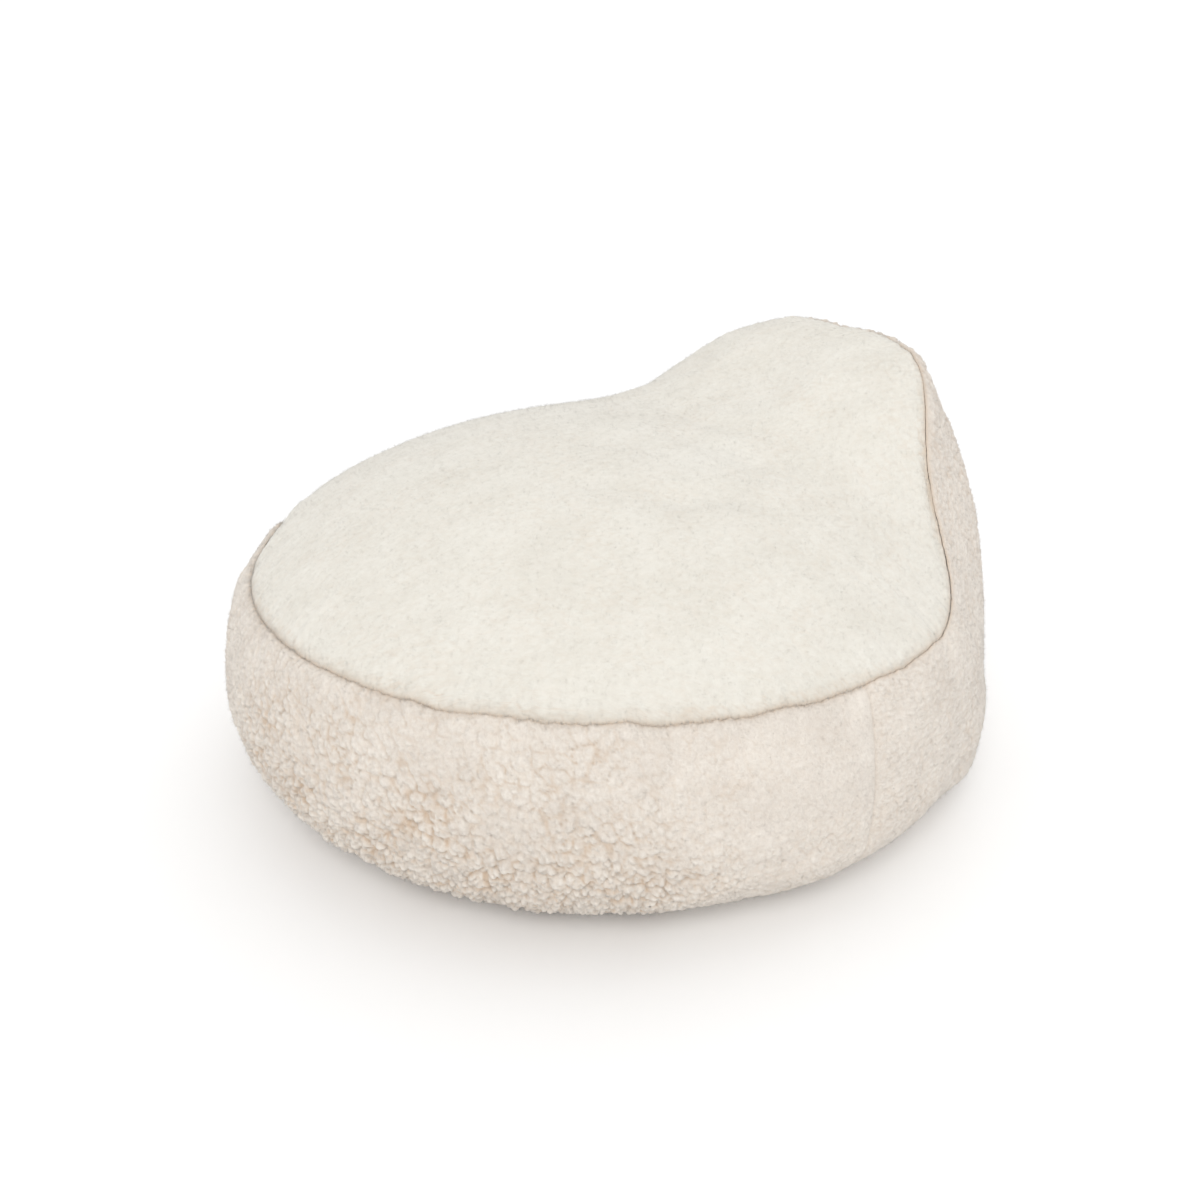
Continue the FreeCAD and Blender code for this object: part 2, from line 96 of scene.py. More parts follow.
# %% Camera
camera_data = bpy.data.cameras.new("camera")
camera_data.sensor_width = 36
camera_data.lens = 39.72
camera = bpy.data.objects.new("camera", camera_data)
scene.collection.objects.link(camera)
camera.location = (0.95008, -0.67724, 0.69119)
aim = Vector((-0.0057, -0.0081, 0.1425)) - camera.location
camera.rotation_euler = aim.to_track_quat("-Z", "Y").to_euler()
scene.camera = camera
print("camera is", round(aim.length, 3), "m from the bed")

# %% [markdown]
# Pale fleece shows its curls only by small shadows. A white surround fills them, a wide, soft light
# from the front right shapes the form, and a weaker one comes from above the back. Both lights are
# far away, so that the nearly white floor is lit evenly, and the floor runs far behind the bed.

# %% Floor and light
def far_light(name, place, strength, spread):
    light = bpy.data.lights.new(name, "SUN")
    light.energy = strength
    light.angle = math.radians(spread)
    holder = bpy.data.objects.new(name, light)
    holder.rotation_euler = Vector(place).to_track_quat("Z", "Y").to_euler()
    scene.collection.objects.link(holder)


far_light("key_light", (0.95, -0.8, 1.15), 1.2, 35)
far_light("top_light", (-0.5, 0.7, 1.6), 0.4, 60)
world = bpy.data.worlds.new("surround")
scene.world = world
world.use_nodes = True
world.node_tree.nodes["Background"].inputs["Color"].default_value = (1, 1, 1, 1)
world.node_tree.nodes["Background"].inputs["Strength"].default_value = 0.75
scene.view_settings.view_transform = "Standard"
bpy.ops.object.select_all(action="DESELECT")
bpy.ops.mesh.primitive_circle_add(vertices=96, radius=80, fill_type="NGON", location=(0, 0, -0.6 * MM))
floor = bpy.context.object
floor.name = "floor"

# %% [markdown]
# Materials are built from nodes. A small helper adds a node, sets its values and wires its inputs,
# which keeps each recipe short enough to read in one go.

# %% Node helpers
def add_node(tree, kind, values=None, links=None, **settings):
    """Adds a node; values and links are by socket name or number."""
    made = tree.nodes.new(kind)
    for key, value in settings.items():
        setattr(made, key, value)
    for key, value in (values or {}).items():
        made.inputs[key].default_value = value
    for key, source in (links or {}).items():
        tree.links.new(source, made.inputs[key])
    return made


def new_group(name, inputs, outputs):
    tree = bpy.data.node_groups.new(name, "ShaderNodeTree")
    for label, value in inputs.items():
        socket = tree.interface.new_socket(label, in_out="INPUT", socket_type="NodeSocketFloat")
        socket.default_value = value
    for label in outputs:
        tree.interface.new_socket(label, in_out="OUTPUT", socket_type="NodeSocketFloat")
    return tree, tree.nodes.new("NodeGroupInput"), tree.nodes.new("NodeGroupOutput")


def math_node(tree, operation, first, second=None, clamp=False):
    made = add_node(tree, "ShaderNodeMath", operation=operation, use_clamp=clamp)
    for place, source in enumerate((first, second)):
        if source is None:
            continue
        if isinstance(source, (int, float)):
            made.inputs[place].default_value = source
        else:
            tree.links.new(source, made.inputs[place])
    return made.outputs[0]


# %% [markdown]
# Pile is the stand of fibres on the face of fleece and plush. Close up it is soft mottling,
# small tufts and single fibres. The three are noises of falling size, the last two warped by
# another noise so that no tuft looks like the next. The group gives a height and a shade: painted
# shade low between the tufts and fibres, mixed with random mottling.

# %% Pile node group
pile_group, pile_in, pile_out = new_group(
    "pile", {"Tuft Scale": 300.0, "Fibre Scale": 1500.0, "Streak": 1.0}, ("Height", "Shade"))
coords = add_node(pile_group, "ShaderNodeTexCoord").outputs["Object"]
stretch = add_node(pile_group, "ShaderNodeCombineXYZ", {0: 1.0, 2: 1.0},
                   {1: pile_in.outputs["Streak"]})
laid = add_node(pile_group, "ShaderNodeVectorMath", None,
                {0: coords, 1: stretch.outputs[0]}, operation="MULTIPLY").outputs[0]
warp = add_node(pile_group, "ShaderNodeTexNoise", {"Scale": 120.0, "Detail": 1.0}, {"Vector": laid})
shift = add_node(pile_group, "ShaderNodeVectorMath", {3: 0.006},
                 {0: warp.outputs["Color"]}, operation="SCALE").outputs[0]
bent = add_node(pile_group, "ShaderNodeVectorMath", None,
                {0: laid, 1: shift}, operation="ADD").outputs[0]
tufts = add_node(pile_group, "ShaderNodeTexNoise", {"Detail": 2.0, "Roughness": 0.6},
                 {"Vector": bent, "Scale": pile_in.outputs["Tuft Scale"]}).outputs["Fac"]
fibres = add_node(pile_group, "ShaderNodeTexNoise", {"Detail": 2.0, "Roughness": 0.7, "Distortion": 0.6},
                  {"Vector": bent, "Scale": pile_in.outputs["Fibre Scale"]}).outputs["Fac"]
blotch = add_node(pile_group, "ShaderNodeTexNoise", {"Scale": 28.0, "Detail": 2.0},
                  {"Vector": laid}).outputs["Fac"]
height = math_node(pile_group, "ADD", math_node(pile_group, "MULTIPLY", tufts, 0.7),
                   math_node(pile_group, "MULTIPLY", fibres, 0.3))
# The shade is painted shade where the pile is low, mixed with random mottling from the blotch.
shade = math_node(pile_group, "ADD", math_node(pile_group, "MULTIPLY", height, 0.6),
                  math_node(pile_group, "MULTIPLY", blotch, 0.4))
pile_group.links.new(height, pile_out.inputs["Height"])
pile_group.links.new(shade, pile_out.inputs["Shade"])
print("pile group has", len(pile_group.nodes), "nodes")

# %% [markdown]
# Woven and knitted cloths are two crossed rows of yarn. Two wave textures, one along and one
# across, give their crowns, and the higher one shows on top. Liner, tape, label and base cloth
# all use this group with a yarn count of their own. Its shade is painted shade between the yarn
# crowns, mixed with random slubs.

# %% Weave node group
weave_group, weave_in, weave_out = new_group("weave", {"Yarns": 900.0, "Slant": 0.0}, ("Height", "Shade"))
coords = add_node(weave_group, "ShaderNodeTexCoord").outputs["Object"]
split = add_node(weave_group, "ShaderNodeSeparateXYZ", None, {0: coords})
around = math_node(weave_group, "ARCTAN2", split.outputs["X"], split.outputs["Y"])
along = math_node(weave_group, "MULTIPLY", around, 0.35)
slanted = math_node(weave_group, "ADD", along,
                    math_node(weave_group, "MULTIPLY", split.outputs["Z"], weave_in.outputs["Slant"]))
warp_yarn = math_node(weave_group, "SINE",
                      math_node(weave_group, "MULTIPLY", slanted, weave_in.outputs["Yarns"]))
out_from_axis = add_node(weave_group, "ShaderNodeVectorMath", None, {0: coords}, operation="LENGTH")
weft_yarn = math_node(weave_group, "SINE", math_node(
    weave_group, "MULTIPLY", out_from_axis.outputs["Value"], weave_in.outputs["Yarns"]))
crown = math_node(weave_group, "MAXIMUM", warp_yarn, weft_yarn)
crown = math_node(weave_group, "MULTIPLY", math_node(weave_group, "ADD", crown, 1.0), 0.5)
slub = add_node(weave_group, "ShaderNodeTexNoise", {"Scale": 240.0, "Detail": 3.0},
                {"Vector": coords}).outputs["Fac"]
weave_group.links.new(crown, weave_out.inputs["Height"])
# The shade is painted shade between the yarn crowns, mixed with random slubs.
weave_group.links.new(math_node(weave_group, "ADD", math_node(weave_group, "MULTIPLY", crown, 0.5),
                                math_node(weave_group, "MULTIPLY", slub, 0.5)),
                      weave_out.inputs["Shade"])
print("weave group has", len(weave_group.nodes), "nodes")

# %% [markdown]
# A cloth material takes one of the groups, turns its shade, which is partly painted shade, into a step
# between a deep and a light colour and its height into a bump. Fleece also gets painted shade where two
# curls meet and along its seams: a darker colour where shadow falls, which the mesh carries as a point
# attribute, because only the mesh knows where its curls are.

# %% Cloth materials
def cloth(name, deep, light, group, values, bump, distance, roughness=0.9, sheen=0.0, painted_shade=None):
    material = bpy.data.materials.new(name)
    material.use_nodes = True
    tree = material.node_tree
    shader = tree.nodes["Principled BSDF"]
    surface = add_node(tree, "ShaderNodeGroup", node_tree=group)
    for key, value in values.items():
        surface.inputs[key].default_value = value
    ramp = add_node(tree, "ShaderNodeMapRange", {"From Min": 0.3, "From Max": 0.7},
                    {"Value": surface.outputs["Shade"]}, interpolation_type="SMOOTHSTEP")
    tint = add_node(tree, "ShaderNodeMix", {6: (*deep, 1), 7: (*light, 1)},
                    {0: ramp.outputs[0]}, data_type="RGBA").outputs[2]
    # Painted shade: the colour is pulled towards a tan brown where the mesh marks curl gaps and seams.
    if painted_shade:
        shade_mark = add_node(tree, "ShaderNodeAttribute", attribute_name="painted_shade")
        tint = add_node(tree, "ShaderNodeMix", {7: (*painted_shade, 1)},
                        {0: shade_mark.outputs["Fac"], 6: tint}, data_type="RGBA").outputs[2]
    raised = add_node(tree, "ShaderNodeBump", {"Strength": bump, "Distance": distance},
                      {"Height": surface.outputs["Height"]})
    tree.links.new(tint, shader.inputs["Base Color"])
    tree.links.new(raised.outputs[0], shader.inputs["Normal"])
    shader.inputs["Roughness"].default_value = roughness
    shader.inputs["Specular IOR Level"].default_value = 0.2
    shader.inputs["Sheen Weight"].default_value = sheen
    shader.inputs["Sheen Roughness"].default_value = 0.6
    return material


sherpa = cloth("sherpa", (0.67, 0.61, 0.545), (0.79, 0.735, 0.665), pile_group,
               {"Tuft Scale": 420.0, "Fibre Scale": 1300.0}, 0.7, 1.2 * MM, 0.95, 0.2,
               painted_shade=(0.58, 0.45, 0.335))
plush = cloth("plush", (0.70, 0.67, 0.60), (0.77, 0.745, 0.68), pile_group,
              {"Tuft Scale": 260.0, "Fibre Scale": 1600.0, "Streak": 0.55}, 0.5, 1.0 * MM, 0.95, 0.2,
              painted_shade=(0.60, 0.46, 0.34))
base_cloth = cloth("base_cloth", (0.52, 0.48, 0.42), (0.66, 0.62, 0.56), weave_group,
                   {"Yarns": 4200.0}, 0.5, 0.3 * MM)
zip_tape = cloth("zip_tape", (0.66, 0.61, 0.54), (0.82, 0.77, 0.70), weave_group,
                 {"Yarns": 5200.0, "Slant": 0.8}, 0.5, 0.3 * MM, 0.75)
knit_backing = cloth("knit_backing", (0.74, 0.70, 0.63), (0.85, 0.82, 0.76), weave_group,
                     {"Yarns": 3600.0, "Slant": 0.3}, 0.6, 0.4 * MM)
liner_cloth = cloth("liner_cloth", (0.80, 0.80, 0.79), (0.90, 0.90, 0.89), weave_group,
                    {"Yarns": 2400.0}, 0.3, 0.2 * MM, 0.8)
filling = cloth("filling", (0.86, 0.86, 0.85), (0.95, 0.95, 0.94), pile_group,
                {"Tuft Scale": 90.0, "Fibre Scale": 700.0}, 0.8, 3 * MM)
label_satin = cloth("label_satin", (0.86, 0.85, 0.83), (0.95, 0.94, 0.92), weave_group,
                    {"Yarns": 7000.0, "Slant": 0.0}, 0.2, 0.1 * MM, 0.35, 0.2)
thread = cloth("thread", (0.70, 0.64, 0.56), (0.86, 0.81, 0.73), weave_group,
               {"Yarns": 9000.0, "Slant": 1.0}, 0.6, 0.1 * MM, 0.6)
print("cloths", [item.name for item in (sherpa, plush, base_cloth, zip_tape, knit_backing,
                                        liner_cloth, filling, label_satin, thread)])

# %% [markdown]
# The zip's coil is nylon, its slider and stops are enamelled zinc, and the dots under the base are
# soft rubber. All three are smooth, so they get only fine grain, a slight change of tint and a
# roughness that varies where hands or the floor have rubbed them.

# %% Moulded and metal materials
def moulded(name, colour, worn, roughness, metal=0.0, coat=0.0, grain=900.0):
    material = bpy.data.materials.new(name)
    material.use_nodes = True
    tree = material.node_tree
    shader = tree.nodes["Principled BSDF"]
    coords = add_node(tree, "ShaderNodeTexCoord").outputs["Object"]
    rubbed = add_node(tree, "ShaderNodeTexNoise", {"Scale": 90.0, "Detail": 3.0}, {"Vector": coords})
    speck = add_node(tree, "ShaderNodeTexNoise", {"Scale": grain, "Detail": 2.0}, {"Vector": coords})
    tint = add_node(tree, "ShaderNodeMix", {6: (*colour, 1), 7: (*worn, 1)},
                    {0: rubbed.outputs["Fac"]}, data_type="RGBA").outputs[2]
    gloss = add_node(tree, "ShaderNodeMapRange", {"To Min": roughness - 0.08, "To Max": roughness + 0.1},
                     {"Value": speck.outputs["Fac"]})
    raised = add_node(tree, "ShaderNodeBump", {"Strength": 0.15, "Distance": 0.1 * MM},
                      {"Height": speck.outputs["Fac"]})
    tree.links.new(tint, shader.inputs["Base Color"])
    tree.links.new(gloss.outputs[0], shader.inputs["Roughness"])
    tree.links.new(raised.outputs[0], shader.inputs["Normal"])
    shader.inputs["Metallic"].default_value = metal
    shader.inputs["Coat Weight"].default_value = coat
    return material


zip_coil = moulded("zip_coil", (0.76, 0.71, 0.63), (0.84, 0.80, 0.73), 0.4)
zip_metal = moulded("zip_metal", (0.70, 0.65, 0.58), (0.78, 0.73, 0.66), 0.32, 0.55, 0.4)
grip_rubber = moulded("grip_rubber", (0.42, 0.39, 0.35), (0.50, 0.47, 0.43), 0.6)
floor_paint = moulded("floor_paint", (0.96, 0.96, 0.96), (0.965, 0.965, 0.965), 0.8)
floor.data.materials.append(floor_paint)
print("moulded", zip_coil.name, zip_metal.name, grip_rubber.name)

# %% [markdown]
# The outer form is a few smooth functions of the plan angle, measured from the middle of the back.
# One smooth share, 1 at the back and 0 at the front, raises the seam, draws it in and fills
# out the band. The same functions serve the band and the top panel, so that they meet exactly.

# %% The outer form
def smooth_step(x):
    x = np.clip(x, 0, 1)
    return x * x * x * (10 - 15 * x + 6 * x * x)


def back_share(turn):
    turned = np.abs(np.arctan2(np.sin(turn), np.cos(turn)))
    return smooth_step((RISE_END - turned) / (RISE_END - RISE_FULL))


def seam_radius(turn):
    share = back_share(turn)
    return SEAM_FRONT * (1 - share) + SEAM_BACK * share + SEAM_FLANK * np.sin(math.pi * share)


def seam_height(turn):
    share = back_share(turn)
    return SEAM_LOW * (1 - share) + SEAM_HIGH * share


def band_radius(turn, z):
    share = back_share(turn)
    part_way = np.clip(z / seam_height(turn), 0, 1)
    fullness = np.where(part_way < 0.5, BELLY_LOW, BELLY_HIGH)
    belly = (BELLY_FRONT + BELLY_EXTRA * share) * np.sin(math.pi * part_way) ** fullness
    roll = ROLL_DEPTH * np.clip(1 - z / ROLL_HEIGHT, 0, 1) ** 2.2
    free = BAND + (seam_radius(turn) - BAND) * part_way + belly - roll
    turned = np.abs(np.arctan2(np.sin(turn), np.cos(turn)))
    flank = np.exp(-((np.degrees(turned) - FLANK_TURN) / 16) ** 2) * np.sin(math.pi * part_way) ** 2
    shoulder = (np.exp(-((np.degrees(turned) - SHOULDER_TURN) / 14) ** 2)
                * np.sin(math.pi * part_way ** 2.4) ** 2)
    free = free - FLANK_TUCK * flank * smooth_step(part_way * 1.6) + SHOULDER * shoulder
    drawn = (smooth_step((ZIP_FLAT_END - turned) / ZIP_FLAT_FADE)
             * smooth_step((0.050 - np.abs(z - ZIP_HEIGHT)) / 0.034))
    return free * (1 - drawn) + ZIP_RADIUS * drawn


def top_height(turn, out):
    climb = smooth_step((out - RISE_START) / (1 - RISE_START))
    share = back_share(turn) * climb
    crown = CROWN_FRONT * (1 - share) + CROWN_BACK * share
    rise = (seam_height(turn) - SEAM_LOW) * climb
    return SEAM_LOW + rise + crown * np.clip(1 - out * out, 0, 1) ** 0.86


print("belly radius in front", round(float(band_radius(math.pi, 0.1)), 4))

# %% [markdown]
# Each cover panel starts as a grid of points on that form. A panel of the band runs from the base
# up to the top seam in rows of equal length along the cloth, with a row on each edge of the zip's
# opening. The top panel is a square grid pulled into a disc, which has no crowded middle.

# %% Panel grids
def band_grid(start, end, columns, cuts, counts):
    """Points of an upright panel by row and column, and how far each lies below the top seam."""
    turns = np.radians(np.linspace(start, end, columns))
    points = np.empty((sum(counts) + 1, columns, 3))
    below = np.empty((sum(counts) + 1, columns))
    spread = (1 - np.cos(np.linspace(0, math.pi, 360))) / 2
    for column, turn in enumerate(turns):
        head = float(seam_height(turn))
        z = FOOT + (head - FOOT) * spread
        r = band_radius(turn, z)
        run = np.concatenate([[0], np.cumsum(np.hypot(np.diff(z), np.diff(r)))])
        stops = np.interp([FOOT, *cuts, head], z, run)
        rows = [np.linspace(low, high, count + 1)[1:] for low, high, count
                in zip(stops[:-1], stops[1:], counts)]
        rows = np.concatenate([[0], *rows])
        z_row = np.interp(rows, run, z)
        r_row = np.interp(rows, run, r)
        points[:, column] = np.stack([r_row * math.sin(turn), r_row * math.cos(turn), z_row], -1)
        below[:, column] = run[-1] - rows
    return points, below, turns


def top_grid(count):
    """Points of the top panel, and how far each lies inside the seam."""
    u, v = np.meshgrid(np.linspace(-1, 1, count), np.linspace(-1, 1, count), indexing="ij")
    disc_x = u * np.sqrt(1 - v * v / 2)
    disc_y = v * np.sqrt(1 - u * u / 2)
    out = np.minimum(np.hypot(disc_x, disc_y), 1)
    turn = np.arctan2(disc_x, disc_y)
    reach = seam_radius(turn)
    points = np.stack([reach * disc_x, reach * disc_y, top_height(turn, out)], -1)
    return points, (1 - out) * reach, turn


def grid_normals(points, flip=False):
    down, across = np.gradient(points, axis=0), np.gradient(points, axis=1)
    normal = np.cross(across, down) if flip else np.cross(down, across)
    return normal / np.maximum(np.linalg.norm(normal, axis=2, keepdims=True), 1e-9)


FRONT_ROWS, FRONT_COLUMNS = 140, 641
BACK_CUTS = (ZIP_HEIGHT - WINDOW, ZIP_HEIGHT + WINDOW)
BACK_COUNTS = (32, 8, 140)
BACK_COLUMNS = 501
TOP_COUNT = 301
front, front_below, front_turns = band_grid(90.02, 269.98, FRONT_COLUMNS, (), (FRONT_ROWS,))
back, back_below, back_turns = band_grid(-89.98, 89.98, BACK_COLUMNS, BACK_CUTS, BACK_COUNTS)
top, top_inside, top_turn = top_grid(TOP_COUNT)
print("points in front", front[..., 0].size, "back", back[..., 0].size, "top", top[..., 0].size)

# %% [markdown]
# Stuffed cloth is never as smooth as its pattern. Each panel is made again on a coarse grid with
# a little spare cloth, its sewn edges are held, and Blender's Cloth blows it up from inside. What
# is kept is the unevenness: the mean swelling is taken off, so that the bed keeps its size.

# %% Swell the panels
SWELL_FRAMES = 20


def coarse_to_fine(coarse, fine):
    """A matrix that spreads coarse samples smoothly over fine ones."""
    place = np.linspace(0, coarse - 1, fine)
    reach = np.abs(place[:, None] - np.arange(coarse)[None])
    weight = np.where(reach < 1, 2 / 3 - reach ** 2 + reach ** 3 / 2,
                      np.where(reach < 2, (2 - reach) ** 3 / 6, 0))
    return weight / weight.sum(1, keepdims=True)


def quads(index, flip=False):
    a, b, c, d = index[:-1, :-1], index[1:, :-1], index[1:, 1:], index[:-1, 1:]
    ring = (a, d, c, b) if flip else (a, b, c, d)
    return np.stack([side.ravel() for side in ring], -1)


def swell(name, points, step, pressure, spare, cap):
    """Blows up a coarse copy of a panel and gives its unevenness on the fine grid."""
    rows, columns = points.shape[:2]
    coarse = points[np.linspace(0, rows - 1, rows // step).astype(int)]
    coarse = coarse[:, np.linspace(0, columns - 1, columns // step).astype(int)]
    index = np.arange(coarse.shape[0] * coarse.shape[1]).reshape(coarse.shape[:2])
    mesh = bpy.data.meshes.new(name)
    mesh.from_pydata(coarse.reshape(-1, 3).tolist(), [], quads(index).tolist())
    panel = bpy.data.objects.new(name, mesh)
    scene.collection.objects.link(panel)
    sewn = np.unique(np.concatenate([index[0], index[-1], index[:, 0], index[:, -1]]))
    panel.vertex_groups.new(name="sewn").add(sewn.tolist(), 1.0, "REPLACE")
    cloth_modifier = panel.modifiers.new("stuffed", "CLOTH")
    settings = cloth_modifier.settings
    settings.quality = 6
    settings.mass = 0.3
    settings.vertex_group_mass = "sewn"
    settings.use_pressure = True
    settings.uniform_pressure_force = pressure
    settings.shrink_min = -spare
    settings.effector_weights.gravity = 0
    for number in range(1, SWELL_FRAMES + 1):
        scene.frame_set(number)
    bpy.ops.object.select_all(action="DESELECT")
    panel.select_set(True)
    bpy.context.view_layer.objects.active = panel
    bpy.ops.object.modifier_apply(modifier="stuffed")
    after = np.empty(len(mesh.vertices) * 3)
    panel.data.vertices.foreach_get("co", after)
    scene.frame_set(1)
    moved = after.reshape(coarse.shape) - coarse
    bpy.data.objects.remove(panel)
    out = np.einsum("rck,rck->rc", moved, grid_normals(coarse))
    held = np.zeros(out.shape, bool)
    held[1:-1, 1:-1] = True
    uneven = np.where(held, np.clip(out - out[held].mean(), -cap, cap), 0)
    print(name, "swelled by", round(out[held].mean() * 1000, 1), "mm, uneven by",
          round(uneven.std() * 1000, 2), "mm")
    return coarse_to_fine(coarse.shape[0], rows) @ uneven @ coarse_to_fine(coarse.shape[1], columns).T


front_uneven = swell("front_swell", front, 6, 4.0, 0.015, 4 * MM)
back_uneven = swell("back_swell", back, 6, 4.0, 0.015, 4 * MM)
top_uneven = swell("top_swell", top, 5, 4.0, 0.01, 4 * MM)

# %% [markdown]
# The seam is the line that the eye follows. Stitching pulls both panels in, the stuffing
# puffs each of them up again beside it, the line wanders a little because the cloth was eased
# by hand, and short puckers run away from it. All of it fades with the distance from the seam.

# %% Seams
def wander(turn, scale, seed):
    """Smooth random value from -1 to 1 that closes on itself round the bed."""
    return np.array([noise.noise(Vector((math.sin(t) * scale, math.cos(t) * scale, seed)))
                     for t in np.ravel(turn)]).reshape(np.shape(turn)) * 1.6


def seam_line(turn):
    eased = 2.2 * MM * wander(turn, 5, 3.1) + 1.5 * MM * wander(turn, 14, 7.7)
    eased = eased + 0.9 * MM * wander(turn, 48, 4.4) + 0.7 * MM * wander(turn, 95, 6.1)
    turned = np.degrees(turn) % 360
    step = 2.2 * MM * np.tanh((turned - 122) / 0.8) * np.exp(-np.abs(turned - 122) / 6)
    step = step - 8 * MM * np.exp(-((turned - 208) / 32) ** 2)
    step = step - 3 * MM * np.exp(-((turned - 355) / 10) ** 2)
    return eased + step + 5 * MM * np.exp(-((turned - 327) / 13) ** 2)


SEAM_WIDTH = 0.006
SEAM_DEEP = 1.5 * MM


def sewn_line(turn):
    """The line of stitching, drawn in under both panels."""
    reach = seam_radius(turn) - SEAM_DEEP * 0.7
    z = seam_height(turn) - SEAM_DEEP + seam_line(turn)
    return np.stack([reach * np.sin(turn), reach * np.cos(turn), z], -1)


def side_distance(turns):
    """How far each column of a band lies from the nearer side seam."""
    return (np.minimum(turns - turns[0], turns[-1] - turns) * BELLY_RADIUS)[None]


def relieved_band(points, below, turns, uneven):
    shape = below.shape
    line = np.broadcast_to(seam_line(turns), shape) * np.exp(-below / 0.03)
    pucker = np.broadcast_to(wander(turns, 42, 1.3), shape)
    lean = np.broadcast_to(1 + 0.5 * wander(turns, 7, 5.9), shape)
    out = 3.0 * MM * lean * (below / 0.013) * np.exp(1 - below / 0.013)
    out = out + 1.0 * MM * pucker * np.exp(-below / 0.014) * np.tanh(below / 0.003)
    side = side_distance(turns)
    out = out - 2.2 * MM * np.exp(-side / 0.009) + 0.8 * MM * (side / 0.02) * np.exp(1 - side / 0.02)
    low = points[..., 2]
    fold = np.exp(-((low - 0.078) / 0.011) ** 2 - ((np.degrees(turns) % 360 - 107) / 11)[None] ** 2)
    out = (out - 2.8 * MM * fold) * np.clip((low - 3 * MM) / 0.012, 0, 1)
    moved = points + grid_normals(points) * (out + uneven)[..., None]
    moved[..., 2] += line
    drawn_in = sewn_line(turns)[None] - moved[-1:]
    moved = moved + drawn_in * np.exp(-below / SEAM_WIDTH)[..., None]
    moved[..., 2] = np.maximum(moved[..., 2], 0.4 * MM)
    return moved


front = relieved_band(front, front_below, front_turns, front_uneven)
back = relieved_band(back, back_below, back_turns, back_uneven)

HOLLOWS = [
    # start x, start y, end x, end y, depth, half width
    (0.060, -0.095, 0.140, -0.030, 2.4 * MM, 0.018),
    (0.135, -0.035, 0.165, 0.030, 2.4 * MM, 0.016),
    (0.150, 0.020, 0.125, 0.090, 2.0 * MM, 0.020),
    (0.050, 0.050, 0.110, 0.070, 2.0 * MM, 0.017),
    (0.020, -0.020, 0.080, 0.020, 1.8 * MM, 0.026),
]


def hollows(points):
    total = np.zeros(points.shape[:2])
    for x0, y0, x1, y1, depth, half in HOLLOWS:
        start, run = np.array([x0, y0]), np.array([x1 - x0, y1 - y0])
        share = np.clip(((points[..., :2] - start) @ run) / (run @ run), 0, 1)
        gap = np.linalg.norm(points[..., :2] - start - share[..., None] * run, axis=-1)
        total += depth * np.exp(-(gap / half) ** 2)
    return total


def top_edge(turn):
    reach = seam_radius(turn)
    return np.stack([reach * np.sin(turn), reach * np.cos(turn), seam_height(turn) + seam_line(turn)], -1)


top_out = (2.2 * MM * (1 + 0.5 * wander(top_turn, 7, 5.9)) * (top_inside / 0.016)
           * np.exp(1 - top_inside / 0.016)
           + 0.8 * MM * wander(top_turn, 42, 2.3) * np.exp(-top_inside / 0.014)
           * np.tanh(top_inside / 0.003)
           + top_uneven - hollows(top))
top_draw = sewn_line(top_turn) - top_edge(top_turn)
top = top + grid_normals(top) * top_out[..., None]
top[..., 2] += seam_line(top_turn) * np.exp(-top_inside / 0.03)
top = top + top_draw * np.exp(-top_inside / SEAM_WIDTH)[..., None]
print("front panel now reaches", [round(float(v), 4) for v in front.reshape(-1, 3).max(0)])

# %% [markdown]
# Teddy fleece is knitted with a pile that curls into beads the size of peas, and the beads gather
# in clumps. A cell pattern warped by noise gives both, of uneven size and with narrow gaps. They
# are clearest low on the front and nearly brushed out at the side seams and on the seat. The noise
# module takes its vector noise from the clock unless it is given a seed, so it gets one.

# %% Curls
CURL_SEED = 7
noise.seed_set(CURL_SEED)


def curls(points, size, seed, edge):
    """How high each point stands in its curl and how near it is to a gap, both from 0 to 1."""
    flat = (points.reshape(-1, 3) / size + (seed, seed * 0.7, -seed)).tolist()
    middle, gap = np.empty(len(flat)), np.empty(len(flat))
    for place, point in enumerate(flat):
        here = Vector(point)
        here += noise.noise_vector(here * 0.6) * 0.34 + noise.noise_vector(here * 2.1) * 0.08
        near = noise.voronoi(here)[0]
        gap[place] = near[1] - near[0]
        middle[place] = near[0]
    ridge = np.clip(gap / 0.45, 0, 1)
    high = (1 - np.clip(middle / 0.85, 0, 1) ** 2) * 0.5 + 0.5 * ridge * (2 - ridge)
    painted_shade = np.clip(1 - gap / edge, 0, 1) ** 1.3
    return high.reshape(points.shape[:2]), painted_shade.reshape(points.shape[:2])


def soft_noise(points, size, seed):
    flat = (points.reshape(-1, 3) / size + seed).tolist()
    return np.array([noise.noise(Vector(point)) for point in flat]).reshape(points.shape[:2]) * 1.5


def curly(points, tall, clumps, beads, away, side, seed):
    """Raises clumps of beads on a grid; clumps and beads are how clear each is, from 0 to 1.

    away and side are the distances from the top seam and from the side seams."""
    clump, clump_gap = curls(points, CLUMP, seed, 0.17)
    clump_gap = clump_gap * np.clip(0.85 + 0.9 * soft_noise(points, CLUMP * 0.8, seed + 31), 0, 1)
    bead, bead_gap = curls(points, BEAD, seed + 11, 0.3)
    patch = np.clip(0.8 + 0.55 * soft_noise(points, CLUMP * 4, seed + 23), 0.3, 1.25)
    free = np.tanh(away / 0.003) * np.tanh(side / 0.004)
    rise = tall * free * (0.5 * clumps * patch * (clump - 0.5) + 0.5 * beads * (bead - 0.5))
    # The gaps between curls and clumps, and the strips along the top and side seams, get painted shade.
    shade_mark = free * patch * (1.0 * clumps * clump_gap + 0.4 * beads * bead_gap)
    seam_shade = 0.75 * np.exp(-away / 0.0018) + 0.25 * np.exp(-side / 0.002)
    raised = points + grid_normals(points) * rise[..., None]
    raised[..., 2] = np.maximum(raised[..., 2], 0.4 * MM)
    return raised, np.clip(shade_mark + seam_shade, 0, 1)


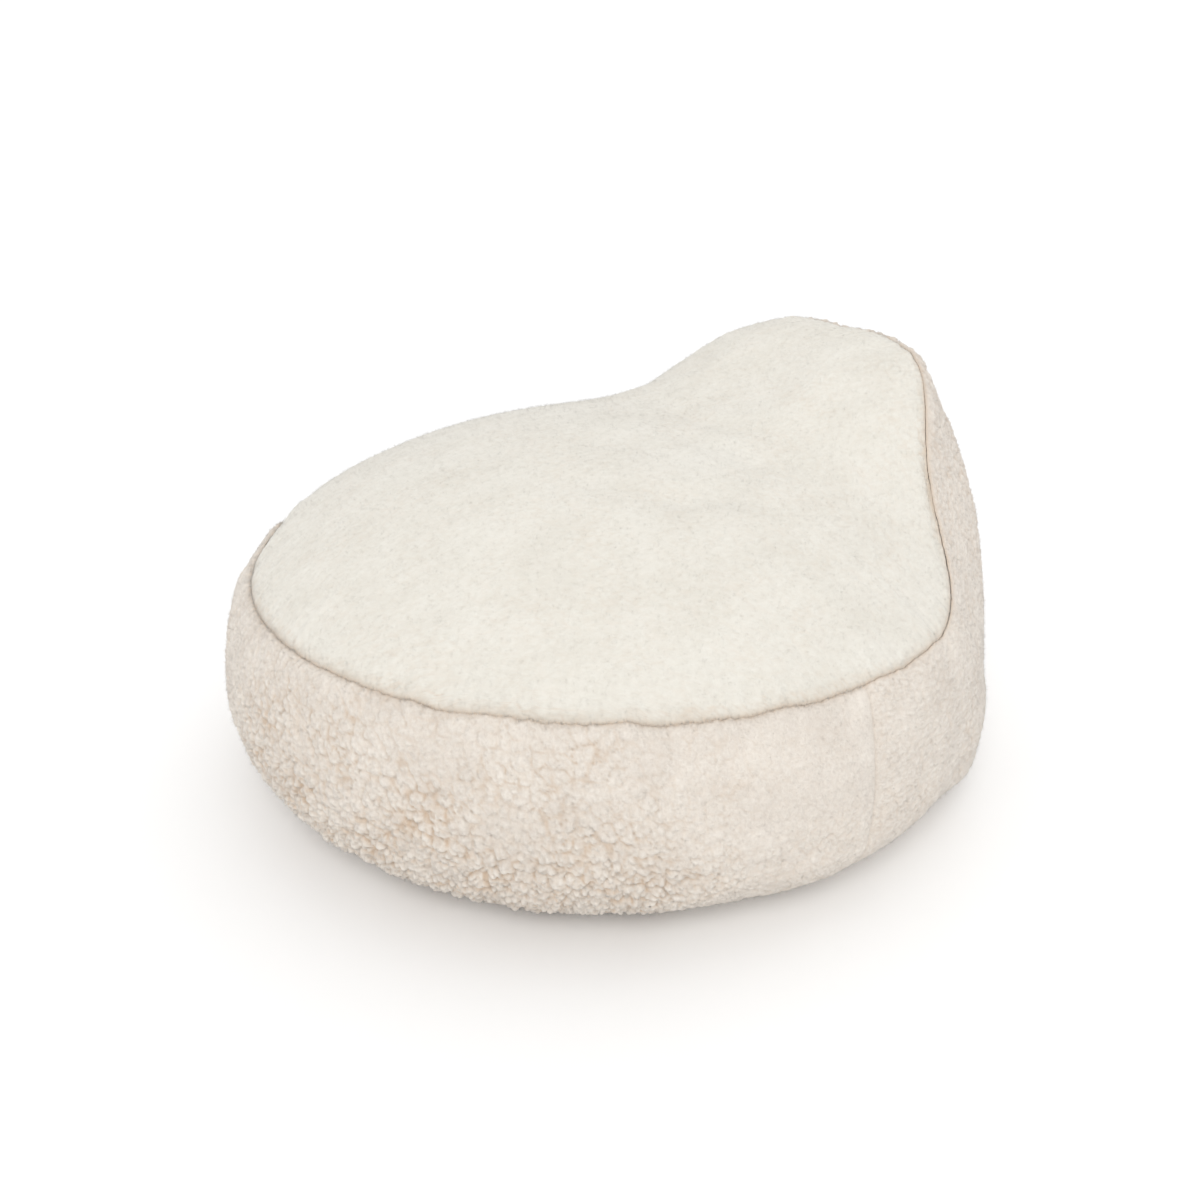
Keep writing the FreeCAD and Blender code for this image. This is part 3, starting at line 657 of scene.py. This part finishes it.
CLUMP, BEAD = 12 * MM, 6.2 * MM
front_turned = np.degrees(front_turns) % 360
towards_middle = smooth_step((front_turned - 100) / 32)
short_of_left = 0.45 + 0.55 * smooth_step((205 - front_turned) / 45)
low_down = np.clip(1.38 - 5.2 * front[..., 2], 0.3, 1.15)
front_clumps = (0.2 + 0.95 * towards_middle * short_of_left)[None] * low_down
front_beads = (0.45 + 0.75 * towards_middle)[None] * low_down
front_side = side_distance(front_turns)
back_side = side_distance(back_turns)
back_clumps = (0.2 + 0.6 * np.exp(-(np.degrees(back_turns) / 42) ** 2))[None]
# Besides raising the curls, each panel gets its painted shade: how dark its colour is in the gaps and at
# the seams.
front, front_painted_shade = curly(front, 7.5 * MM, front_clumps, front_beads, front_below, front_side, 2)
back, back_painted_shade = curly(back, 6.5 * MM, back_clumps, 0.4 + back_clumps / 2, back_below, back_side, 5)
top, top_painted_shade = curly(top, 2.4 * MM, 0.3, 0.5, top_inside, 1.0, 9)
top_painted_shade = np.where(top_inside > 0.008, 0.4 * top_painted_shade, top_painted_shade)
print("mean crease in front", round(float(front_painted_shade.mean()), 3),
      "top", round(float(top_painted_shade.mean()), 3))

# %% [markdown]
# A panel is cloth with a thickness, so each grid is closed with an inner skin. The skin needs few
# rows, because it is never seen, and it shares the grid's columns, so that the edges join without
# gaps. The back panel's skin also turns in round the zip's opening.

# %% Close the panels
def make_piece(name, vertices, faces, material, painted_shade=None, rim=None):
    """Makes a piece that moves with the cushion; rim lists the points on its cut edges."""
    mesh = bpy.data.meshes.new(name)
    mesh.from_pydata(vertices, [], faces)
    mesh.validate()
    mesh.update()
    mesh.shade_smooth()
    if rim is not None:
        on_rim = np.zeros(len(mesh.vertices), bool)
        on_rim[rim] = True
        ends = np.empty(len(mesh.edges) * 2, int)
        mesh.edges.foreach_get("vertices", ends)
        sharp = on_rim[ends.reshape(-1, 2)].all(1)
        mesh.attributes.new("sharp_edge", "BOOLEAN", "EDGE").data.foreach_set("value", sharp)
    # The painted shade is stored per point for the material to read.
    if painted_shade is not None:
        mesh.attributes.new("painted_shade", "FLOAT", "POINT").data.foreach_set("value", painted_shade)
    mesh.materials.append(material)
    piece = bpy.data.objects.new(name, mesh)
    scene.collection.objects.link(piece)
    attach(piece, "cushion")
    return piece


def close_band(name, outer, painted_shade, inner_rows, hole, material):
    """An upright panel with an inner skin. hole is (first row, last row, first and last column)."""
    rows, columns = outer.shape[:2]
    inner = outer[inner_rows] - grid_normals(outer)[inner_rows] * SKIN
    inner[..., 2] = np.maximum(inner[..., 2], 1.2 * MM)
    face = np.arange(rows * columns).reshape(rows, columns)
    skin = rows * columns + np.arange(len(inner_rows) * columns).reshape(-1, columns)
    out_quads = quads(face).reshape(rows - 1, columns - 1, 4)
    in_quads = quads(skin, flip=True).reshape(len(inner_rows) - 1, columns - 1, 4)
    keep_out = np.ones(out_quads.shape[:2], bool)
    keep_in = np.ones(in_quads.shape[:2], bool)
    faces = []

    def rim(lower, upper):
        pair = np.stack([lower, upper])
        faces.extend(quads(pair).tolist())

    rim(skin[0], face[0])
    rim(face[-1], skin[-1])
    faces.append([*face[:, 0].tolist()[::-1], *skin[:, 0].tolist()])
    faces.append([*face[:, -1].tolist(), *skin[:, -1].tolist()[::-1]])
    if hole:
        low, high, left, right = hole
        low_in, high_in = inner_rows.index(low), inner_rows.index(high)
        keep_out[low:high, left:right] = False
        keep_in[low_in:high_in, left:right] = False
        rim(face[low, left:right + 1], skin[low_in, left:right + 1])
        rim(skin[high_in, left:right + 1], face[high, left:right + 1])
        faces.append([*face[low:high + 1, left].tolist(), *skin[[high_in, low_in], left].tolist()])
        faces.append([*face[low:high + 1, right].tolist()[::-1],
                      *skin[[low_in, high_in], right].tolist()])
    faces = out_quads[keep_out].tolist() + in_quads[keep_in].tolist() + faces
    vertices = np.concatenate([outer.reshape(-1, 3), inner.reshape(-1, 3)])
    shade_marks = np.concatenate([painted_shade.ravel(), np.zeros(inner.shape[0] * columns)])
    edge = np.concatenate([face[0], face[-1], face[:, 0], face[:, -1]])
    return make_piece(name, vertices.tolist(), faces, material, shade_marks, edge)


def close_top(name, outer, painted_shade, material):
    """The top panel with rings of inner skin that close on one point under its middle."""
    count = outer.shape[0]
    index = np.arange(count * count).reshape(count, count)
    edge = np.concatenate([index[:-1, 0], index[-1, :-1], index[:0:-1, -1], index[0, :0:-1]])
    flat = outer.reshape(-1, 3)
    faces = quads(index).tolist()
    rings = [edge]
    vertices = [flat]
    total = len(flat)
    for shrink in (0.985, 0.9, 0.7, 0.45, 0.2):
        place = (np.array([flat[edge, 0], flat[edge, 1]]) * shrink).T
        turn = np.arctan2(place[:, 0], place[:, 1])
        out = np.hypot(place[:, 0], place[:, 1]) / seam_radius(turn)
        z = top_height(turn, out) - (2.2 * SKIN if shrink < 0.97 else 2.6 * SKIN)
        vertices.append(np.column_stack([place, z]))
        rings.append(np.arange(total, total + len(edge)))
        total += len(edge)
    for upper, lower in zip(rings[:-1], rings[1:]):
        loop_upper, loop_lower = np.append(upper, upper[0]), np.append(lower, lower[0])
        faces += np.stack([loop_upper[:-1], loop_lower[:-1], loop_lower[1:], loop_upper[1:]], -1).tolist()
    middle = np.array([[0, 0, top_height(0.0, 0.0) - 2.2 * SKIN]])
    vertices.append(middle)
    last = np.append(rings[-1], rings[-1][0])
    faces += [[int(a), total, int(b)] for a, b in zip(last[:-1], last[1:])]
    vertices = np.concatenate(vertices)
    shade_marks = np.concatenate([painted_shade.ravel(), np.zeros(len(vertices) - len(flat))])
    return make_piece(name, vertices.tolist(), faces, material, shade_marks, edge)


low_row, high_row = BACK_COUNTS[0], BACK_COUNTS[0] + BACK_COUNTS[1]
in_window = np.where(np.abs(back_turns) <= ZIP_TURN)[0]
front_fleece = close_band("front_fleece", front, front_painted_shade, [0, 20, 60, 100, 130, 140], None,
                          sherpa)
back_fleece = close_band("back_fleece", back, back_painted_shade, [0, 12, low_row, high_row, 70, 120, 170, 180],
                         (low_row, high_row, int(in_window[0]), int(in_window[-1])), sherpa)
plush_top = close_top("plush_top", top, top_painted_shade, plush)
for piece, node, fill in ((front_fleece, "front_band", 0.8), (back_fleece, "back_band", 0.75),
                          (plush_top, "top_panel", 0.75)):
    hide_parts(node)
    print(piece.name, "faces", len(piece.data.polygons))

# %% [markdown]
# Single fibres stand out all over the pile, and the outline looks soft because of them. One fibre
# is a slim three-sided cone, modelled once and copied many times, each copy turned, leaned and
# scaled a little differently. A cone has only four faces, so tens of thousands cost little.

# %% Loose fibres
def one_fibre():
    bpy.ops.object.select_all(action="DESELECT")
    bpy.ops.mesh.primitive_cone_add(vertices=3, radius1=1, radius2=0, depth=1, end_fill_type="TRIFAN",
                                    location=(0, 0, 0.5))
    cone = bpy.context.object
    bpy.ops.object.transform_apply(location=True)
    points = np.array([v.co[:] for v in cone.data.vertices])
    sides = np.array([[*p.vertices][:3] for p in cone.data.polygons if len(p.vertices) == 3])
    bpy.data.objects.remove(cone)
    return points, sides


FIBRE_POINTS, FIBRE_SIDES = one_fibre()
print("one fibre has", len(FIBRE_POINTS), "points and", len(FIBRE_SIDES), "faces")


def fibres(name, grid, keep, count, length, width, lean, material, slot, seed):
    """Copies the fibre over a panel's outer grid."""
    random = np.random.default_rng(seed)
    normals = grid_normals(grid)
    area = np.linalg.norm(np.cross(np.gradient(grid, axis=0), np.gradient(grid, axis=1)), axis=2) * keep
    share = np.cumsum(area.ravel())
    picked = np.searchsorted(share, random.random(count) * share[-1])
    row, column = np.unravel_index(np.minimum(picked, area.size - 1), area.shape)
    root, normal = grid[row, column], normals[row, column]
    root = root + random.normal(0, 0.6 * MM, root.shape)
    way = normal + random.normal(0, lean, root.shape)
    way = way / np.linalg.norm(way, axis=1, keepdims=True)
    side = np.cross(way, random.normal(0, 1, root.shape))
    side = side / np.maximum(np.linalg.norm(side, axis=1, keepdims=True), 1e-9)
    third = np.cross(way, side)
    long = length * random.uniform(0.5, 1.3, (count, 1, 1))
    wide = width * random.uniform(0.7, 1.3, (count, 1, 1))
    root = root - normal * 0.8 * MM
    points = (root[:, None] + side[:, None] * FIBRE_POINTS[None, :, :1] * wide
              + third[:, None] * FIBRE_POINTS[None, :, 1:2] * wide
              + way[:, None] * FIBRE_POINTS[None, :, 2:] * long)
    sides = (FIBRE_SIDES[None] + (np.arange(count) * len(FIBRE_POINTS))[:, None, None]).reshape(-1, 3)
    points = points.reshape(-1, 3)
    points[:, 2] = np.maximum(points[:, 2], 0.2 * MM)
    piece = make_piece(name, points.tolist(), sides.tolist(), material, np.zeros(len(points)))
    piece.data.normals_split_custom_set_from_vertices(np.repeat(normal, len(FIBRE_POINTS), axis=0).tolist())
    print(name, "has", count, "fibres")


back_keep = np.ones(back.shape[:2])
back_keep[low_row - 6:high_row + 6, in_window[0] - 6:in_window[-1] + 6] = 0
front_keep = 1 + 8 * np.exp(-front_below / 0.003)
top_keep = 1 + 8 * np.exp(-top_inside / 0.003)
fibres("front_fibres", front, front_keep, 46000, 3.3 * MM, 0.13 * MM, 0.6, sherpa, "sherpa", 1)
fibres("back_fibres", back, back_keep, 46000, 3.3 * MM, 0.13 * MM, 0.6, sherpa, "sherpa", 2)
fibres("top_fibres", top, top_keep, 48000, 3.8 * MM, 0.12 * MM, 0.7, plush, "plush", 3)

# %% [markdown]
# The zip runs on an arc low on the back. Its tapes and the rolled edges of the opening are long
# strips of one section, so each is a small rectangle with rounded corners, spun about the middle
# of the bed. Spin keeps the section the same all the way round, as a sewing folder does.

# %% Zip tapes and rolled edges
def fresh():
    if bpy.context.object and bpy.context.object.mode != "OBJECT":
        bpy.ops.object.mode_set(mode="OBJECT")
    bpy.ops.object.select_all(action="DESELECT")


def edit_all():
    bpy.ops.object.mode_set(mode="EDIT")
    bpy.ops.mesh.select_all(action="SELECT")


def settle(name, material, slot_name, body, *nodes):
    """Names the active piece, gives it its finish and body, and hides the frame's nodes that it replaces.
    """
    if bpy.context.object.mode != "OBJECT":
        bpy.ops.object.mode_set(mode="OBJECT")
    piece = bpy.context.object
    piece.name = name
    piece.data.name = name
    piece.data.materials.clear()
    piece.data.materials.append(material)
    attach(piece, body)
    if nodes:
        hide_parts(*nodes)
    print(name, "faces", len(piece.data.polygons))
    return piece


def spun_strip(name, node, depth, half_turn, rounding, material, slot_name, steps=110):
    """A strip on the zip's arc with the node's section, which comes from the node's own box."""
    low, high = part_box(node)
    outer = high.y
    inner = outer - depth
    middle, z = (inner + outer) / 2, (low.z + high.z) / 2
    fresh()
    place = (middle * math.sin(-half_turn), middle * math.cos(-half_turn), z)
    bpy.ops.mesh.primitive_plane_add(size=1, location=place,
                                     rotation=(math.pi / 2, 0, math.pi / 2 + half_turn))
    bpy.context.object.scale = (outer - inner, high.z - low.z, 1)
    bpy.ops.object.transform_apply(location=True, rotation=True, scale=True)
    edit_all()
    bpy.ops.mesh.bevel(offset=rounding, segments=3, affect="VERTICES")
    bpy.ops.mesh.select_all(action="SELECT")
    bpy.ops.mesh.spin(steps=steps, angle=2 * half_turn, center=(0, 0, 0), axis=(0, 0, 1))
    bpy.ops.mesh.select_all(action="SELECT")
    bpy.ops.mesh.normals_make_consistent(inside=False)
    bpy.ops.object.mode_set(mode="OBJECT")
    bpy.ops.object.shade_smooth_by_angle(angle=math.radians(50))
    return settle(name, material, slot_name, "cushion", node)


TAPE_DEPTH, TAPE_HALF_TURN = 0.7 * MM, math.radians(55.5)
EDGE_DEPTH, EDGE_HALF_TURN = 3.2 * MM, math.radians(53.8)
for side_name in ("upper", "lower"):
    spun_strip(f"tape_{side_name}", f"zip_tape_{side_name}", TAPE_DEPTH, TAPE_HALF_TURN,
               0.15 * MM, zip_tape, "zip_tape")
    spun_strip(f"rolled_edge_{side_name}", f"zip_welt_{side_name}", EDGE_DEPTH, EDGE_HALF_TURN,
               0.9 * MM, base_cloth, "base_cloth")

# %% [markdown]
# What repeats along the zip is made once and copied. An Array modifier with an empty turned by one
# step as its offset walks the copies round the arc, and applying it leaves plain mesh. The coil is
# nylon line wound in close loops, and a row of short stitches holds each rolled edge.

# %% Coil loops and stitches
def walk_round(step, count):
    """Copies the active piece round the arc, from the left end to the right one."""
    piece = bpy.context.object
    bpy.ops.object.transform_apply(location=True, rotation=True, scale=True)
    piece.rotation_euler = (0, 0, step * (count - 1) / 2)
    bpy.ops.object.transform_apply(rotation=True)
    pivot = bpy.data.objects.new("pivot", None)
    scene.collection.objects.link(pivot)
    pivot.rotation_euler = (0, 0, -step)
    bpy.context.view_layer.update()
    row = piece.modifiers.new("row", "ARRAY")
    row.count = count
    row.use_relative_offset = False
    row.use_object_offset = True
    row.offset_object = pivot
    bpy.ops.object.modifier_apply(modifier="row")
    bpy.data.objects.remove(pivot)


COIL_CENTRE = sum(corner.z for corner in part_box("zip_coil_upper")) / 2 - ZIP_HEIGHT
COIL_RADIUS, COIL_HALF_TURN, LOOP_PITCH = 0.3557, math.radians(51), 1.55 * MM
STITCH_RADIUS, STITCH_HALF_TURN, STITCH_PITCH = 0.3580, math.radians(53), 4.2 * MM
STITCH_HEIGHT = 6.5 * MM
for side_name, sign in (("upper", 1), ("lower", -1)):
    fresh()
    bpy.ops.mesh.primitive_torus_add(
        major_radius=0.8 * MM, minor_radius=0.3 * MM, major_segments=10, minor_segments=5,
        location=(0, COIL_RADIUS, ZIP_HEIGHT + sign * COIL_CENTRE), rotation=(0, math.pi / 2, 0.2))
    bpy.context.object.scale = (1.3, 1, 1)
    walk_round(LOOP_PITCH / COIL_RADIUS, int(2 * COIL_HALF_TURN * COIL_RADIUS / LOOP_PITCH))
    bpy.ops.object.shade_smooth()
    settle(f"coil_{side_name}", zip_coil, "zip_coil", "cushion", f"zip_coil_{side_name}")
    fresh()
    bpy.ops.mesh.primitive_uv_sphere_add(
        segments=8, ring_count=6, radius=0.35 * MM, rotation=(0, math.pi / 2, 0),
        location=(0, STITCH_RADIUS, ZIP_HEIGHT + sign * STITCH_HEIGHT))
    bpy.context.object.scale = (1, 1, 4.2)
    walk_round(STITCH_PITCH / STITCH_RADIUS, int(2 * STITCH_HALF_TURN * STITCH_RADIUS / STITCH_PITCH))
    bpy.ops.object.shade_smooth()
    settle(f"edge_stitches_{side_name}", thread, "zip_tape", "cushion")

# %% [markdown]
# The slider and its pull are small castings. Their shapes in the frame are right but sharp, and a
# casting has eased edges that catch the light. A copy of each is merged, its edges are bevelled,
# and the copy stands for the frame's own piece.

# %% Slider and pull
def eased_copy(name, node, body, width):
    fresh()
    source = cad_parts[node]
    copy = bpy.data.objects.new(name, source.data.copy())
    scene.collection.objects.link(copy)
    copy.select_set(True)
    bpy.context.view_layer.objects.active = copy
    edit_all()
    bpy.ops.mesh.remove_doubles(threshold=0.005 * MM)
    bpy.ops.mesh.dissolve_limited(angle_limit=math.radians(2))
    bpy.ops.object.mode_set(mode="OBJECT")
    bevel = copy.modifiers.new("eased", "BEVEL")
    bevel.width = width
    bevel.segments = 2
    bevel.limit_method = "ANGLE"
    bevel.angle_limit = math.radians(40)
    bpy.ops.object.modifier_apply(modifier="eased")
    bpy.ops.object.shade_smooth_by_angle(angle=math.radians(50))
    return settle(name, zip_metal, "zip_metal", body, node)


eased_copy("slider", "zip_slider", "slider", 0.22 * MM)
eased_copy("pull", "zip_pull_tab", "pull", 0.2 * MM)

# %% [markdown]
# The seam of the finished bed runs lower than the frame's at the left, where the cushion sags. The
# turned-in edge under it is drawn in and let down with it, so that it never shows through.

# %% Turned-in edge of the top seam
DRAWN_IN, LET_DOWN = 0.965, 11 * MM
fresh()
turned_in = bpy.data.objects.new("top_turned_in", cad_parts["top_seam_allowance"].data.copy())
scene.collection.objects.link(turned_in)
turned_in.select_set(True)
bpy.context.view_layer.objects.active = turned_in
turned_in.scale = (DRAWN_IN, DRAWN_IN, 1)
turned_in.location.z = -LET_DOWN
bpy.ops.object.transform_apply(location=True, rotation=True, scale=True)
settle("top_turned_in", knit_backing, "knit_backing", "cushion", "top_seam_allowance")

# %% [markdown]
# A small blank satin label lies on the fleece at the left side seam. It starts as a grid, a
# cloud texture lifts it unevenly as pile does, and Solidify gives the ribbon its thickness. A row
# of stitches crosses it at the top and the bottom.

# %% Side label
LABEL_STITCH_STEP = 3.4 * MM
label_low, label_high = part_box("care_label")
label_size = label_high - label_low
label_middle = (label_low + label_high) / 2
fresh()
bpy.ops.mesh.primitive_grid_add(x_subdivisions=22, y_subdivisions=34, size=1,
                                location=(label_low.x - 1.6 * MM, label_middle.y, label_middle.z),
                                rotation=(0, -math.pi / 2, 0))
ribbon = bpy.context.object
ribbon.scale = (label_size.z, label_size.y, 1)
bpy.ops.object.transform_apply(location=True, rotation=True, scale=True)
clouds = bpy.data.textures.new("pile_lift", "CLOUDS")
clouds.noise_scale = 0.016
lift = ribbon.modifiers.new("lift", "DISPLACE")
lift.texture = clouds
lift.strength = 1.6 * MM
lift.mid_level = 0.5
bpy.ops.object.modifier_apply(modifier="lift")
thick = ribbon.modifiers.new("ribbon", "SOLIDIFY")
thick.thickness = 0.45 * MM
thick.offset = 0
bpy.ops.object.modifier_apply(modifier="ribbon")
bpy.ops.object.shade_smooth_by_angle(angle=math.radians(50))
settle("side_label", label_satin, "label_satin", "cushion", "care_label")
for end, z in (("top", label_high.z - 3 * MM), ("bottom", label_low.z + 3 * MM)):
    fresh()
    bpy.ops.mesh.primitive_uv_sphere_add(segments=8, ring_count=6, radius=0.3 * MM,
                                         location=(label_low.x - 2.0 * MM, label_low.y + 2 * MM, z))
    bpy.context.object.scale = (1, 4, 1)
    bpy.ops.object.transform_apply(location=True, scale=True)
    row = bpy.context.object.modifiers.new("row", "ARRAY")
    row.count = 8
    row.use_relative_offset = False
    row.use_constant_offset = True
    row.constant_offset_displace = (0, LABEL_STITCH_STEP, 0)
    bpy.ops.object.modifier_apply(modifier="row")
    bpy.ops.object.shade_smooth()
    settle(f"label_stitches_{end}", thread, "label_satin", "cushion")

# %% [markdown]
# The base is a plain disc of woven cloth. It is a low cylinder whose underside is inset in rings:
# one goes in and the next comes out again, which presses in the line of stitching near the edge.
# Dots of soft rubber are printed on it in staggered rows, so that the bed does not slide.

# %% Base cloth and grip dots
BASE_RADIUS = 0.2965
BASE_LIFT = 0.8 * MM
fresh()
bpy.ops.mesh.primitive_cylinder_add(vertices=192, radius=BASE_RADIUS, depth=base_high.z - BASE_LIFT,
                                    location=(0, 0, (base_high.z + BASE_LIFT) / 2))
bpy.ops.object.transform_apply(location=True)
bpy.ops.object.mode_set(mode="EDIT")
bpy.ops.mesh.select_mode(type="FACE")
bpy.ops.mesh.select_all(action="DESELECT")
bpy.ops.object.mode_set(mode="OBJECT")
for face in bpy.context.object.data.polygons:
    face.select = face.normal.z < -0.9
bpy.ops.object.mode_set(mode="EDIT")
bpy.ops.mesh.inset(thickness=9 * MM)
bpy.ops.mesh.inset(thickness=1.2 * MM, depth=-0.5 * MM)
bpy.ops.mesh.inset(thickness=1.2 * MM, depth=0.5 * MM)
bpy.ops.mesh.inset(thickness=0.1)
bpy.ops.object.mode_set(mode="OBJECT")
edge = bpy.context.object.modifiers.new("rim", "BEVEL")
edge.width = 0.4 * MM
edge.segments = 2
edge.limit_method = "ANGLE"
bpy.ops.object.modifier_apply(modifier="rim")
bpy.ops.object.shade_smooth_by_angle(angle=math.radians(30))
settle("base_disc", base_cloth, "base_cloth", "cushion", "base_panel")

DOT_SPACING, DOT_REACH = 0.030, 0.262
fresh()
bpy.ops.mesh.primitive_uv_sphere_add(segments=12, ring_count=6, radius=3.2 * MM, location=(0, 0, 0))
dot = bpy.context.object
dot.scale = (1, 1, 0.24)
bpy.ops.object.transform_apply(scale=True)
dot_points = np.array([v.co[:] for v in dot.data.vertices])
dot_faces = [[*face.vertices] for face in dot.data.polygons]
bpy.data.objects.remove(dot)
places = []
for row_number in range(-10, 11):
    for column_number in range(-10, 11):
        x = (column_number + 0.5 * (row_number % 2)) * DOT_SPACING
        y = row_number * DOT_SPACING * math.sqrt(3) / 2
        if math.hypot(x, y) < DOT_REACH:
            places.append((x, y, BASE_LIFT))
places = np.array(places)
dots = (places[:, None] + dot_points[None]).reshape(-1, 3)
faces = [[v + k * len(dot_points) for v in face] for k in range(len(places)) for face in dot_faces]
make_piece("grip_dots", dots.tolist(), faces, grip_rubber)
print("grip dots", len(places))

# %% [markdown]
# The inner pieces and the zip's two stops have the right shapes in the frame, so they stay. Each
# gets its own finish: knitted backing on the turned-in seam edges, spunbond on the liner and the
# wall inside it, loose fibre for the filling, and enamel on the stops.

# %% Finishes of the frame's pieces
FINISHES = {
    knit_backing: ("base_seam_allowance", "side_seam_allowance_right", "side_seam_allowance_left"),
    liner_cloth: ("liner_top", "liner_band", "liner_base", "baffle"),
    filling: ("seat_fill", "backrest_fill"),
    zip_metal: ("zip_top_stop", "zip_bottom_stop"),
}
for material, names in FINISHES.items():
    for name in names:
        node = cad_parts[name]
        node.data.materials.clear()
        node.data.materials.append(material)
print("finished", sum(len(names) for names in FINISHES.values()), "of the frame's pieces")
